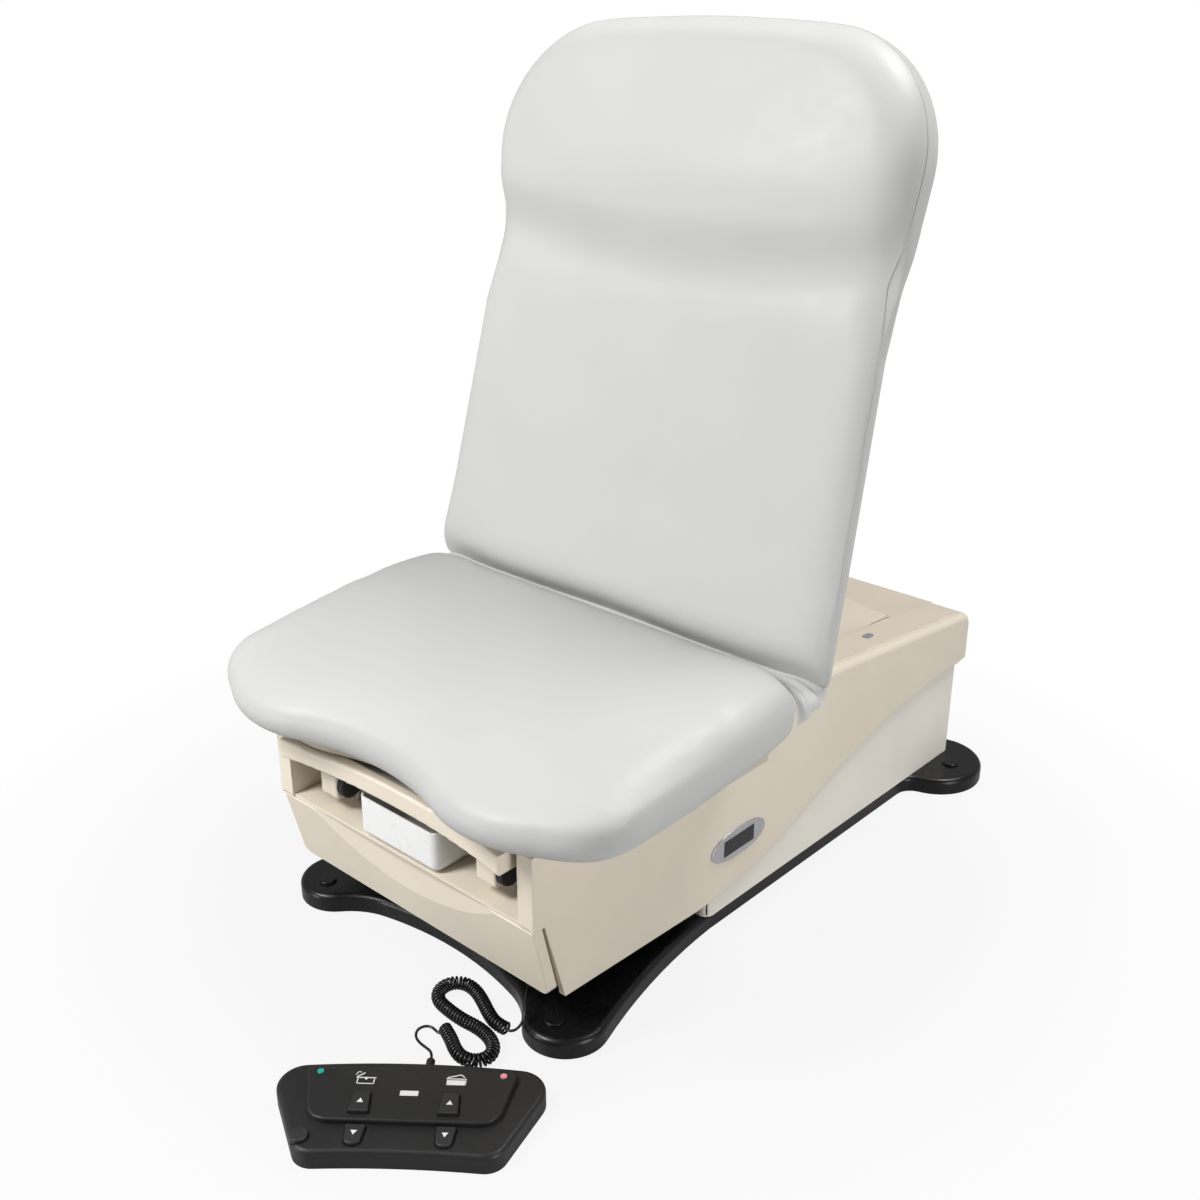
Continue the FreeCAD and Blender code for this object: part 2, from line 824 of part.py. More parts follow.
round_edges(
    shroud, "wing_round",
    lambda e: abs(e.BoundBox.XMin - val("shroud_half")) < NEAR and e.CenterOfMass.y > val("wing_y") - NEAR
    and e.CenterOfMass.z > val("curve_end_z + 2 * curve_end_rise"),
)
# no inner wall ahead of the wing
pocket(
    shroud, "YZ_Plane", f"{WING_IN} - cut_over", f"cheek_in - {WING_IN} + cut_over",
    rect("-cut_far", "wing_y", "0", f"{WING_TOP} + cut_far"),
)
# behind the front post only the skin is left below the bay floor
pocket(
    shroud, "YZ_Plane", "cheek_in - cut_over", f"{SHROUD_IN} - cheek_in + cut_over",
    [
        ("rake_y + front_thick", "0"),
        (BAY_BACK, "0"),
        (BAY_BACK, SHELF_LOW),
        ("rake_y + front_thick", SHELF_LOW),
    ],
)
pocket(
    shroud, "YZ_Plane", "cheek_in - cut_over", f"{SHROUD_IN} - cheek_in + cut_over",
    rect(f"{BAY_BACK} - bay_wall", "wing_y", "0", PLATE_TOP),
)
# hollow of the wing, open below
pocket(
    shroud, "YZ_Plane", f"{WING_IN} + shroud_wall", "wing_width - 2 * shroud_wall",
    [
        ("wing_y - cut_over", "0"),
        ("body_rear_y - shroud_wall", "0"),
        ("body_rear_y - shroud_wall", f"{WING_END} - rear_round / 2"),
        ("body_rear_y - rear_round", f"{WING_END} - shroud_wall"),
        ("wing_slope_y", f"{WING_TOP} - shroud_wall"),
        ("wing_y + shroud_wall", f"{WING_TOP} - shroud_wall"),
        ("wing_y + shroud_wall", PLATE_TOP),
        ("wing_y - cut_over", PLATE_TOP),
    ],
)
pocket(
    shroud, "YZ_Plane", f"{WING_IN} - cut_over", "shroud_wall + 2 * cut_over",
    rect("wing_y - cut_over", "body_rear_y - shroud_wall", "0", PLATE_TOP),
)
# flare of the skirt towards the foot end, fading out along the side
flare = shroud.newObject("PartDesign::AdditiveLoft", "shroud_flare")
FLARE_MID = f"((skirt_front_z + {SHELF_TOP}) / 2)"
flare.Profile = new_sketch(
    shroud, "XZ_Plane", "0",
    [
        (SHROUD_IN, "skirt_front_z"),
        ("shroud_half + flare_out", "skirt_front_z"),
        ("shroud_half + flare_out / 2", FLARE_MID),
        ("shroud_half", SHELF_TOP),
        (SHROUD_IN, SHELF_TOP),
    ],
)
FLARE_END_MID = f"((skirt_rear_z + {SHELF_TOP}) / 2)"
flare.Sections = [
    new_sketch(
        shroud, "XZ_Plane", "-skirt_y",
        [
            (SHROUD_IN, "skirt_rear_z"),
            ("shroud_half", "skirt_rear_z"),
            ("shroud_half", FLARE_END_MID),
            ("shroud_half", SHELF_TOP),
            (SHROUD_IN, SHELF_TOP),
        ],
    )
]
flare.Ruled = True
# below the bay floor the front is set back behind the drawer front
FACE_LEAN = f"(rake_y / ({SHELF_TOP} - skirt_front_z))"
PANEL_BACK = "(front_thick + drawer_seam)"
PANEL_TOP = f"({SHELF_LOW} + front_gap)"
pocket(
    shroud, "YZ_Plane", "cheek_in - cut_over", "shroud_half + flare_out + cut_far - cheek_in",
    [
        ("-cut_far", PANEL_TOP),
        ("-cut_far", "0"),
        (f"{PANEL_BACK} + {FACE_LEAN} * {SHELF_TOP}", "0"),
        (f"{PANEL_BACK} + {FACE_LEAN} * ({SHELF_TOP} - {PANEL_TOP})", PANEL_TOP),
    ],
)
mirror(shroud, "shroud_left")

# Lids let into the tops of the wings
lid = new_body("wing_lid_right", kept=False)
SLOPE = "(wing_fall / (body_rear_y - wing_slope_y))"
LID_END = "(body_rear_y - rear_round - lid_inset)"
LID_END_Z = f"({WING_TOP} - {SLOPE} * ({LID_END} - wing_slope_y))"
pad(
    lid, "YZ_Plane", f"{WING_IN} + lid_inset", "wing_width - 2 * lid_inset - wing_round / 2",
    [
        ("wing_slope_y", WING_TOP),
        (LID_END, LID_END_Z),
        (LID_END, f"{LID_END_Z} + lid_thick"),
        ("wing_slope_y", f"{WING_TOP} + lid_thick"),
        ("wing_y + lid_inset", f"{WING_TOP} + lid_thick"),
        ("wing_y + lid_inset", WING_TOP),
    ],
)
group("wing_lids", lid, mirror(lid, "wing_lid_left", kept=False))

# Arched cowl between the wings, with a deck behind it to the head end and an apron down the rear
cowl = new_body("rear_cowl")
COWL_HALF = f"({WING_IN} - cowl_gap)"
COWL_SAG = f"(cowl_bulge - sqrt(cowl_bulge * cowl_bulge - {COWL_HALF} * {COWL_HALF}))"
COWL_EDGE = f"({PLATE_TOP} + cowl_rise - {COWL_SAG})"
COWL_REAR = "(body_rear_y - shroud_wall)"
pad(
    cowl, "XZ_Plane", f"cowl_set - {COWL_REAR}", "cowl_long",
    [
        (f"-{COWL_HALF}", PLATE_TOP),
        (COWL_HALF, PLATE_TOP),
        (COWL_HALF, COWL_EDGE, "cowl_bulge", 1),
        (f"-{COWL_HALF}", COWL_EDGE),
    ],
)
round_edges(
    cowl, "cowl_round",
    lambda e: e.BoundBox.ZMin > val(COWL_EDGE) - NEAR and e.BoundBox.XLength > val(COWL_HALF),
)
hollow(cowl, "cowl_wall", lambda f: f.BoundBox.ZMax < val(PLATE_TOP) + NEAR)
DECK_TOP = f"({PLATE_TOP} + cowl_wall)"
pad(
    cowl, "XZ_Plane", f"-{COWL_REAR}", "cowl_set + cowl_wall",
    rect(f"-{COWL_HALF}", COWL_HALF, PLATE_TOP, DECK_TOP),
)
pad(
    cowl, "XZ_Plane", f"-{COWL_REAR}", "cowl_wall",
    rect(f"-{COWL_HALF}", COWL_HALF, "curve_end_z + apron_gap", DECK_TOP),
)

# Bay under the seat for the pan and the stirrups: floor and back wall in one folded sheet
shelf = new_body("bay_shelf")
pad(
    shelf, "YZ_Plane", "-cheek_in", "2 * cheek_in",
    [
        ("shelf_front", SHELF_LOW),
        (BAY_BACK, SHELF_LOW),
        (BAY_BACK, PLATE_LOW),
        (f"{BAY_BACK} - bay_wall", PLATE_LOW),
        (f"{BAY_BACK} - bay_wall", SHELF_TOP),
        ("shelf_front", SHELF_TOP),
    ],
)

# Seat: plywood on the cheeks, foam with two front lobes and a dip between them
SEAT_HALF = "(top_width / 2)"


def seat_outline(inset, rear):
    """Plan of the seat, drawn in from its full outline by the inset."""
    return [
        (f"-({SEAT_HALF} - {inset})", rear),
        (f"-({SEAT_HALF} - {inset})", f"corner_y + {inset} / 2", "corner_bulge", 1),
        (f"-(lobe_out_x - {inset} / 2)", f"-lobe_out_y + {inset}", "lobe_bulge", 1),
        ("-lobe_in_x", f"-lobe_in_y + {inset}", "dip_bulge", -1),
        ("lobe_in_x", f"-lobe_in_y + {inset}", "lobe_bulge", 1),
        (f"lobe_out_x - {inset} / 2", f"-lobe_out_y + {inset}", "corner_bulge", 1),
        (f"{SEAT_HALF} - {inset}", f"corner_y + {inset} / 2"),
        (f"{SEAT_HALF} - {inset}", rear),
    ]


ply = new_body("seat_board")
PLY_REAR = "crease_y - ply_rear - ply_thick - crease_gap"
pad(ply, "XY_Plane", PLY_LOW, "ply_thick", seat_outline("ply_inset", PLY_REAR))

seat = new_body("seat_cushion")
pad(seat, "XY_Plane", SEAT_LOW, "seat_thick", seat_outline("0", "crease_y + cut_far"))
round_edges(seat, "seat_blend", lambda e: upright(e) and e.CenterOfMass.y < val("corner_y") + NEAR)
# the rear face lies along the back
LEAN = "(1 / tan(back_angle))"
REAR_FACE = f"crease_y - crease_gap - {CREASE_Z} * {LEAN}"
pocket(
    seat, "YZ_Plane", f"-{SEAT_HALF} - cut_far", "top_width + 2 * cut_far",
    [
        (REAR_FACE, "0"),
        ("crease_y + 2 * cut_far", "0"),
        ("crease_y + 2 * cut_far", f"{SEAT_TOP} + cut_far"),
        (f"{REAR_FACE} + ({SEAT_TOP} + cut_far) * {LEAN}", f"{SEAT_TOP} + cut_far"),
    ],
)


def crown_drop(y):
    """How far the crowned top lies below its highest point."""
    return f"(seat_crown - sqrt(seat_crown * seat_crown - (seat_crown_y - ({y})) * (seat_crown_y - ({y}))))"


# the top falls in one arc to the front lobes and a little to the crease
CROWN_FRONT = "-lobe_in_y - lobe_bulge / 2"
CROWN_REAR = "crease_y + 2 * cut_far"
pocket(
    seat, "YZ_Plane", f"-{SEAT_HALF} - cut_far", "top_width + 2 * cut_far",
    [
        (CROWN_REAR, f"{SEAT_TOP} - {crown_drop(CROWN_REAR)}", "seat_crown", 1),
        (CROWN_FRONT, f"{SEAT_TOP} - {crown_drop(CROWN_FRONT)}"),
        (CROWN_FRONT, f"{SEAT_TOP} + cut_far"),
        (CROWN_REAR, f"{SEAT_TOP} + cut_far"),
    ],
)
CROWN_LOW = f"{SEAT_TOP} - {crown_drop(CROWN_FRONT)}"
round_edges(seat, "seat_round", lambda e: e.BoundBox.ZMin > val(CROWN_LOW))
round_edges(
    seat, "seat_under",
    lambda e: level(e, val(SEAT_LOW)) and e.CenterOfMass.y < val(f"{REAR_FACE} + {SEAT_LOW} * {LEAN}") - NEAR,
)

# Back and headrest, drawn flat and stood at the back's rest angle: the back rolls in at the crease, and the
# sides of both roll in towards the rear
back = new_body("back_cushion")
place_on_back(back)
BACK_TOP = "(head_y - head_gap)"


def back_section(offset, half):
    """Cross-section of the back: small rounds in front, large ones behind."""
    return new_sketch(
        back, "XZ_Plane", offset,
        [
            (f"-{half} + back_rear_round", "-back_rear"),
            (f"{half} - back_rear_round", "-back_rear", "back_rear_round", 1),
            (half, "-back_rear + back_rear_round"),
            (half, "back_front - back_round", "back_round", 1),
            (f"{half} - back_round", "back_front"),
            (f"-{half} + back_round", "back_front", "back_round", 1),
            (f"-{half}", "back_front - back_round"),
            (f"-{half}", "-back_rear + back_rear_round", "back_rear_round", 1),
        ],
    )


taper = back.newObject("PartDesign::AdditiveLoft", "back_taper")
taper.Profile = back_section("back_lap", BACK_HALF)
taper.Sections = [back_section(f"-{BACK_TOP}", NECK_HALF)]
taper.Ruled = True
pocket(
    back, "YZ_Plane", f"-{BACK_HALF} - cut_far", f"2 * ({BACK_HALF} + cut_far)",
    [
        ("-back_lap", "back_front - back_roll", "back_roll", -1),
        ("back_roll - back_lap", "back_front"),
        ("-back_lap - cut_far", "back_front + cut_far"),
        ("-back_lap - cut_far", "back_front - back_roll"),
    ],
)
pocket(
    back, "YZ_Plane", f"-{BACK_HALF} - cut_far", f"2 * ({BACK_HALF} + cut_far)",
    [
        (f"{BACK_TOP} - back_round", "back_front", "back_round", -1),
        (BACK_TOP, "back_front - back_round"),
        (f"{BACK_TOP} + cut_far", "back_front - back_round"),
        (f"{BACK_TOP} + cut_far", "back_front + cut_far"),
    ],
)

head = new_body("headrest_cushion")
place_on_back(head)
HEAD_SIDE = f"({NECK_HALF} + head_flare)"
pad(
    head, "XY_Plane", "-back_rear", "back_rear + head_front",
    [
        (f"-{NECK_HALF}", "head_y"),
        (NECK_HALF, "head_y"),
        (HEAD_SIDE, "head_corner_y", "head_top_bulge", 1),
        (f"-{HEAD_SIDE}", "head_corner_y"),
    ],
)
round_edges(head, "head_corner", lambda e: upright(e) and e.CenterOfMass.y > val("head_corner_y") - NEAR)
round_edges(head, "head_round", lambda e: level(e, val("head_front")))
round_edges(
    head, "head_rear_round",
    lambda e: level(e, -val("back_rear")) and e.CenterOfMass.y > val("head_y") + NEAR,
)

shell = new_body("back_shell")
place_on_back(shell)
SHELL_LOW = f"({HINGE_S} + boss_radius + shell_low)"
SHELL_TOP = "(head_corner_y - shell_top)"
pad(
    shell, "XY_Plane", "-back_rear - shell_thick", "shell_thick",
    [
        (f"-{NECK_HALF} + shell_inset", SHELL_LOW),
        (f"{NECK_HALF} - shell_inset", SHELL_LOW),
        (f"{NECK_HALF} - shell_inset", SHELL_TOP),
        (f"-{NECK_HALF} + shell_inset", SHELL_TOP),
    ],
)
round_edges(shell, "shell_round", lambda e: upright(e) and e.CenterOfMass.y > val(SHELL_TOP) - NEAR)

# Hinge: brackets on the carriage plate, arms behind the back, one shaft through both and the gearbox
ARM_OUT = "(bracket_x - bracket_thick / 2 - arm_gap)"
arm = new_body("back_arm_right", kept=False)
place_on_back(arm)
ARM_TOP = "(-back_rear - shell_thick)"
pad(
    arm, "YZ_Plane", f"{ARM_OUT} - bracket_thick", "bracket_thick",
    [
        (f"{HINGE_S} - boss_radius", f"-{HINGE_D}", "boss_radius", -1),
        (HINGE_S, f"-{HINGE_D} + boss_radius", "boss_radius", -1),
        (f"{HINGE_S} + boss_radius", f"-{HINGE_D}"),
        (f"{HINGE_S} + boss_radius", ARM_TOP),
        ("arm_reach", ARM_TOP),
        ("arm_reach", f"{ARM_TOP} - arm_depth / 3"),
        (f"{HINGE_S} + boss_radius + arm_taper", f"{ARM_TOP} - arm_depth"),
        (f"{HINGE_S} + arm_heel", f"{ARM_TOP} - arm_depth"),
        (f"{HINGE_S} - boss_radius", f"{ARM_TOP} - arm_depth / 3"),
    ],
)
pocket(
    arm, "YZ_Plane", f"{ARM_OUT} - bracket_thick - cut_over", "bracket_thick + 2 * cut_over",
    disc(HINGE_S, f"-{HINGE_D}", "shaft_radius"),
)
group("back_arms", arm, mirror(arm, "back_arm_left", kept=False))

shaft = new_body("hinge_shaft")
pad(
    shaft, "YZ_Plane", "-bracket_x - bracket_thick", "2 * bracket_x + 2 * bracket_thick",
    disc("hinge_y", HINGE_Z, "shaft_radius"),
)

bracket = new_body("hinge_bracket_right", kept=False)
pad(
    bracket, "YZ_Plane", "bracket_x - bracket_thick / 2", "bracket_thick",
    [
        ("hinge_y - bracket_foot", PLATE_TOP),
        ("hinge_y + boss_radius", PLATE_TOP),
        ("hinge_y + boss_radius", HINGE_Z, "boss_radius", 1),
        ("hinge_y", f"{HINGE_Z} + boss_radius", "boss_radius", 1),
        ("hinge_y - boss_radius", HINGE_Z),
    ],
)
pocket(
    bracket, "YZ_Plane", "bracket_x - bracket_thick / 2 - cut_over", "bracket_thick + 2 * cut_over",
    disc("hinge_y", HINGE_Z, "shaft_radius + shaft_play"),
)
group("hinge_brackets", bracket, mirror(bracket, "hinge_bracket_left", kept=False))

gearbox = new_body("back_gearmotor")
pad(
    gearbox, "YZ_Plane", "-gearbox_half", "2 * gearbox_half",
    rect("hinge_y - gearbox_front", "hinge_y + gearbox_rear", PLATE_TOP, f"{HINGE_Z} + gearbox_over"),
)
round_edges(
    gearbox, "gearbox_round",
    lambda e: e.BoundBox.XLength > val("gearbox_half") and e.CenterOfMass.z > val(HINGE_Z),
)
pad(
    gearbox, "YZ_Plane", "gearbox_half - cut_over", "tilt_motor_long",
    disc("hinge_y - motor_back", f"{PLATE_TOP} + tilt_motor_radius + motor_lift", "tilt_motor_radius"),
)
pocket(
    gearbox, "YZ_Plane", "-gearbox_half - cut_over", "2 * gearbox_half + 2 * cut_over",
    disc("hinge_y", HINGE_Z, "shaft_radius + shaft_play"),
)

# Drawer: raked front with a scooped pull, a box, and runners in guides under the bay floor
front_panel = new_body("drawer_panel", kept=False)
FACE_LOW = f"({FACE_LEAN} * ({SHELF_TOP} - drawer_z))"
FACE_TOP = f"({SHELF_LOW} - front_gap)"
FACE_HIGH = f"({FACE_LEAN} * ({SHELF_TOP} - {FACE_TOP}))"
pad(
    front_panel, "YZ_Plane", f"-{DRAWER_HALF}", f"2 * {DRAWER_HALF}",
    [
        (FACE_HIGH, FACE_TOP),
        (FACE_LOW, "drawer_z"),
        (f"{FACE_LOW} + front_thick", "drawer_z"),
        (f"{FACE_HIGH} + front_thick", FACE_TOP),
    ],
)
round_edges(front_panel, "front_corner", lambda e: level(e, val("drawer_z")) and e.BoundBox.XLength < NEAR)
round_edges(
    front_panel, "front_edge",
    lambda e: e.BoundBox.YMax < val(FACE_LOW) + NEAR and e.CenterOfMass.y < val(FACE_LOW) - NEAR,
)
SCOOP_ARC = "((scoop_width * scoop_width + scoop_drop * scoop_drop) / (2 * scoop_drop))"
SCOOP_UP = f"({SCOOP_ARC} - scoop_drop)"
SCOOP_SPAN = f"({SCOOP_ARC} * {SCOOP_ARC} - {SCOOP_UP} * {SCOOP_UP})"
SCOOP_OFF = f"(({SCOOP_SPAN} - scoop_depth * scoop_depth) / (2 * scoop_depth))"
LEAN_LEN = f"(sqrt(1 + {FACE_LEAN} * {FACE_LEAN}))"
ball = doc.addObject("Part::Sphere", "scoop_ball")
bind(ball, "Radius", f"sqrt({SCOOP_ARC} * {SCOOP_ARC} + {SCOOP_OFF} * {SCOOP_OFF})")
BALL_Y = f"-origin_y + {FACE_HIGH} - ({FACE_LEAN} * {SCOOP_UP} + {SCOOP_OFF}) / {LEAN_LEN}"
bind(ball, "Placement.Base.y", BALL_Y)
bind(ball, "Placement.Base.z", f"{FACE_TOP} + ({SCOOP_UP} - {FACE_LEAN} * {SCOOP_OFF}) / {LEAN_LEN}")
drawer_front = doc.addObject("Part::Cut", "drawer_front")
drawer_front.Base = front_panel
drawer_front.Tool = ball
keep(drawer_front, "drawer_front")

box = new_body("drawer_box")
BOX_FRONT = f"({FACE_LOW} + front_thick)"
BOX_LOW = "(drawer_z + drawer_low)"
BOX_TOP = f"({SHELF_LOW} - drawer_rim)"
pad(
    box, "YZ_Plane", "-drawer_side", "2 * drawer_side",
    [
        (BOX_FRONT, BOX_LOW),
        ("cover_front_y - drawer_back_gap", BOX_LOW),
        ("cover_front_y - drawer_back_gap", BOX_TOP),
        (f"{BOX_FRONT} - {FACE_LEAN} * ({BOX_TOP} - {BOX_LOW})", BOX_TOP),
        (f"{BOX_FRONT} - {FACE_LEAN} * drawer_rim", f"{BOX_LOW} + drawer_rim"),
    ],
)
hollow(box, "drawer_wall", lambda f: f.BoundBox.ZMin > val(BOX_TOP) - NEAR)

RUNNER_Z = f"({BOX_TOP} - runner_height - runner_drop)"
runner = new_body("drawer_runner_right", kept=False)
pad(
    runner, "XY_Plane", RUNNER_Z, "runner_height",
    rect(
        "drawer_side", "drawer_side + runner_thick",
        f"{BOX_FRONT} + runner_front", "cover_front_y - drawer_back_gap",
    ),
)
group("drawer_runners", runner, mirror(runner, "drawer_runner_left", kept=False))
guide = new_body("drawer_guide_right", kept=False)
GUIDE_IN = "(drawer_side + runner_thick + runner_gap)"
pad(
    guide, "XZ_Plane", f"-{BAY_BACK}", f"{BAY_BACK} - {BOX_FRONT} - guide_start",
    [
        (GUIDE_IN, f"{RUNNER_Z} - guide_drop"),
        (f"{GUIDE_IN} + guide_thick", f"{RUNNER_Z} - guide_drop"),
        (f"{GUIDE_IN} + guide_thick", SHELF_LOW),
        (f"{GUIDE_IN} - runner_gap - runner_thick / 2", SHELF_LOW),
        (f"{GUIDE_IN} - runner_gap - runner_thick / 2", f"{RUNNER_Z} + runner_height + runner_gap"),
        (GUIDE_IN, f"{RUNNER_Z} + runner_height + runner_gap"),
    ],
)
group("drawer_guides", guide, mirror(guide, "drawer_guide_left", kept=False))

# Leg board that pulls out from under the seat, its bowed front bar and the guides that carry it
board = new_body("leg_board")
pad(
    board, "XY_Plane", BOARD_LOW, "board_thick",
    rect(f"-{BOARD_HALF}", BOARD_HALF, "bar_rear_y", "board_long"),
)
bar = new_body("leg_board_bar")
BAR_END = f"({BOARD_HALF} + bar_over)"
pad(
    bar, "XY_Plane", f"{BOARD_LOW} - bar_low", "bar_low + bar_high",
    [
        (f"-{BAR_END}", "-bar_end_y", "bar_bulge", -1),
        (BAR_END, "-bar_end_y"),
        (BAR_END, "bar_rear_y"),
        (f"-{BAR_END}", "bar_rear_y"),
    ],
)
round_edges(
    bar, "bar_edge",
    lambda e: e.BoundBox.YMax < NEAR,
)
rail = new_body("board_guide_right", kept=False)
pad(
    rail, "XZ_Plane", f"-{BAY_BACK} + bay_wall", f"{BAY_BACK} - bay_wall - bar_rear_y - guide_front",
    [
        (f"{BOARD_HALF} - guide_lip", BAY_TOP),
        ("cheek_in", BAY_TOP),
        ("cheek_in", PLY_LOW),
        (f"{BOARD_HALF} + slide_gap", PLY_LOW),
        (f"{BOARD_HALF} + slide_gap", f"{BOARD_LOW} - slide_gap"),
        (f"{BOARD_HALF} - guide_lip", f"{BOARD_LOW} - slide_gap"),
    ],
)
group("board_guides", rail, mirror(rail, "board_guide_left", kept=False))

# Treatment pan on two rails on the bay floor
PAN_LOW = f"({SHELF_TOP} + rail_height + slide_gap)"
pan = new_body("treatment_pan")
pad(pan, "XY_Plane", PAN_LOW, "pan_height", rect("-pan_half", "pan_half", "0", "pan_long"))
round_edges(pan, "pan_round", upright)
round_edges(pan, "pan_edge", lambda e: level(e, val(PAN_LOW)))
hollow(pan, "pan_wall", lambda f: f.BoundBox.ZMin > val(f"{PAN_LOW} + pan_height") - NEAR)
strip = new_body("pan_rail_right", kept=False)
pad(
    strip, "XY_Plane", SHELF_TOP, "rail_height",
    rect(
        "pan_half - rail_inset - rail_width", "pan_half - rail_inset",
        "rail_start", f"{BAY_BACK} - bay_wall",
    ),
)
group("pan_rails", strip, mirror(strip, "pan_rail_left", kept=False))

# Stirrups: a square bar that slides in a sleeve on the bay floor, with a moulded foot piece at its end
BAR_LOW = f"({SHELF_TOP} + stirrup_z)"
BAR_HALF = "(stirrup_bar / 2)"
stirrup = new_body("stirrup_bar_right")
pad(
    stirrup, "XY_Plane", BAR_LOW, "stirrup_bar",
    rect(f"stirrup_x - {BAR_HALF}", f"stirrup_x + {BAR_HALF}", "foot_front_y + foot_deep", "stirrup_end_y"),
)
mirror(stirrup, "stirrup_bar_left")
sleeve = new_body("stirrup_sleeve_right", kept=False)
SLEEVE_HOLE = f"({BAR_HALF} + sleeve_gap)"
pad(
    sleeve, "XZ_Plane", f"-{BAY_BACK} + bay_wall", "sleeve_long",
    rect(
        f"stirrup_x - {SLEEVE_HOLE} - sleeve_wall", f"stirrup_x + {SLEEVE_HOLE} + sleeve_wall",
        SHELF_TOP, f"{BAR_LOW} + stirrup_bar + sleeve_gap + sleeve_wall",
    ),
    rect(
        f"stirrup_x - {SLEEVE_HOLE}", f"stirrup_x + {SLEEVE_HOLE}",
        f"{BAR_LOW} - sleeve_gap", f"{BAR_LOW} + stirrup_bar + sleeve_gap",
    ),
)
group("stirrup_sleeves", sleeve, mirror(sleeve, "stirrup_sleeve_left", kept=False))
piece = new_body("stirrup_foot_right")
pad(
    piece, "XY_Plane", f"{BAR_LOW} - foot_low", "foot_low + foot_high",
    rect("stirrup_x - foot_half", "stirrup_x + foot_half", "foot_front_y", "foot_front_y + foot_deep"),
)
round_edges(piece, "foot_edge", lambda e: e.BoundBox.YMax < val("foot_front_y") + NEAR)
mirror(piece, "stirrup_foot_left")
# dark pivot disc on the same side of both foot pieces
for name, middle in (("stirrup_pivot_right", "stirrup_x"), ("stirrup_pivot_left", "-stirrup_x")):
    pivot = new_body(name)
    pad(
        pivot, "YZ_Plane", f"{middle} + foot_half", "pivot_thick",
        disc("foot_front_y + pivot_radius", f"{BAR_LOW} + stirrup_bar / 2", "pivot_radius"),
    )
    outer = val(f"{middle} + foot_half + pivot_thick")
    round_edges(pivot, "pivot_edge", lambda e: e.BoundBox.XMin > outer - NEAR)

# Foot control: a low housing with a raised key pad, four keys, a round key and two lenses
housing = new_body("control_housing")
place_on_control(housing)
pad(
    housing, "XY_Plane", "0", "control_height",
    [
        ("-control_back_x", "control_back_v"),
        ("-control_front_x", "-control_front_v", "control_front_bulge", -1),
        ("control_front_x", "-control_front_v"),
        ("control_back_x", "control_back_v", "control_back_bulge", 1),
    ],
)
round_edges(housing, "control_corner", lambda e: upright(e) and e.CenterOfMass.y > 0)
round_edges(housing, "control_toe", lambda e: upright(e) and e.CenterOfMass.y < NEAR - val("control_front_v"))
round_edges(housing, "control_round", lambda e: level(e, val("control_height")))


def key_outline(x, v, up, grow):
    """Plan of a key: the upper ones narrow towards the back, the lower ones run to a round tip in front."""
    half = f"(key_half + {grow})"
    deep = f"(key_deep + {grow})"
    middle = f"(-({v}))"
    if up:
        return [
            (f"{x} - {half}", f"{middle} - {deep}"),
            (f"{x} + {half}", f"{middle} - {deep}"),
            (f"{x} + {half} * key_taper", f"{middle} + {deep}"),
            (f"{x} - {half} * key_taper", f"{middle} + {deep}"),
        ]
    return [
        (f"{x} - {half} * key_taper", f"{middle} - {deep} / 2", f"{half} * key_tip", 1),
        (f"{x} + {half} * key_taper", f"{middle} - {deep} / 2"),
        (f"{x} + {half}", f"{middle} + {deep}"),
        (f"{x} - {half}", f"{middle} + {deep}"),
    ]


PAD_TOP = "(control_height + key_pad_height)"
key_pad = new_body("control_key_pad")
place_on_control(key_pad)
pad(
    key_pad, "XY_Plane", "control_height", "key_pad_height",
    [
        ("-key_pad_half", "key_pad_back"),
        ("-key_pad_low", "-key_pad_front"),
        ("key_pad_low", "-key_pad_front"),
        ("key_pad_half", "key_pad_back"),
    ],
)
round_edges(key_pad, "key_pad_round", lambda e: upright(e) and e.CenterOfMass.y < 0)
round_edges(key_pad, "key_pad_corner", lambda e: upright(e) and e.CenterOfMass.y > val("key_pad_back") - NEAR)
round_edges(key_pad, "key_pad_edge", lambda e: level(e, val(PAD_TOP)))

KEYS = (
    ("back_up_key", "-key_x", "key_up_v", True),
    ("table_up_key", "key_x", "key_up_v", True),
    ("back_down_key", "-key_x", "key_down_v", False),
    ("table_down_key", "key_x", "key_down_v", False),
)
for name, x, v, up in KEYS:
    floor = f"({PAD_TOP} - key_well)" if up else "(control_height - key_well)"
    owner = key_pad if up else housing
    pocket(owner, "XY_Plane", floor, "key_well + key_clear", key_outline(x, v, up, "key_play"))
    key = new_body(name)
    place_on_control(key)
    pad(key, "XY_Plane", f"{floor} + key_seat", "key_well - key_seat + key_rise", key_outline(x, v, up, "0"))
    round_edges(key, "key_corner", lambda e: upright(e) and e.CenterOfMass.y > -val(v))
    round_edges(key, "key_edge", lambda e: level(e, val(f"{floor} + key_well + key_rise")))
HOME_FLOOR = "(control_height - key_well)"
pocket(
    housing, "XY_Plane", HOME_FLOOR, "key_well + key_clear",
    disc("-home_x", "-home_v", "home_radius + key_play"),
)
home = new_body("home_key")
place_on_control(home)
pad(
    home, "XY_Plane", f"{HOME_FLOOR} + key_seat", "key_well - key_seat + key_rise",
    disc("-home_x", "-home_v", "home_radius"),
)
round_edges(home, "key_edge", lambda e: level(e, val("control_height + key_rise")))
for name, x in (("lens_left", "-lens_x"), ("lens_right", "lens_x")):
    lens = new_body(name)
    place_on_control(lens)
    pad(lens, "XY_Plane", PAD_TOP, "lens_rise", disc(x, "lens_v", "lens_radius"))

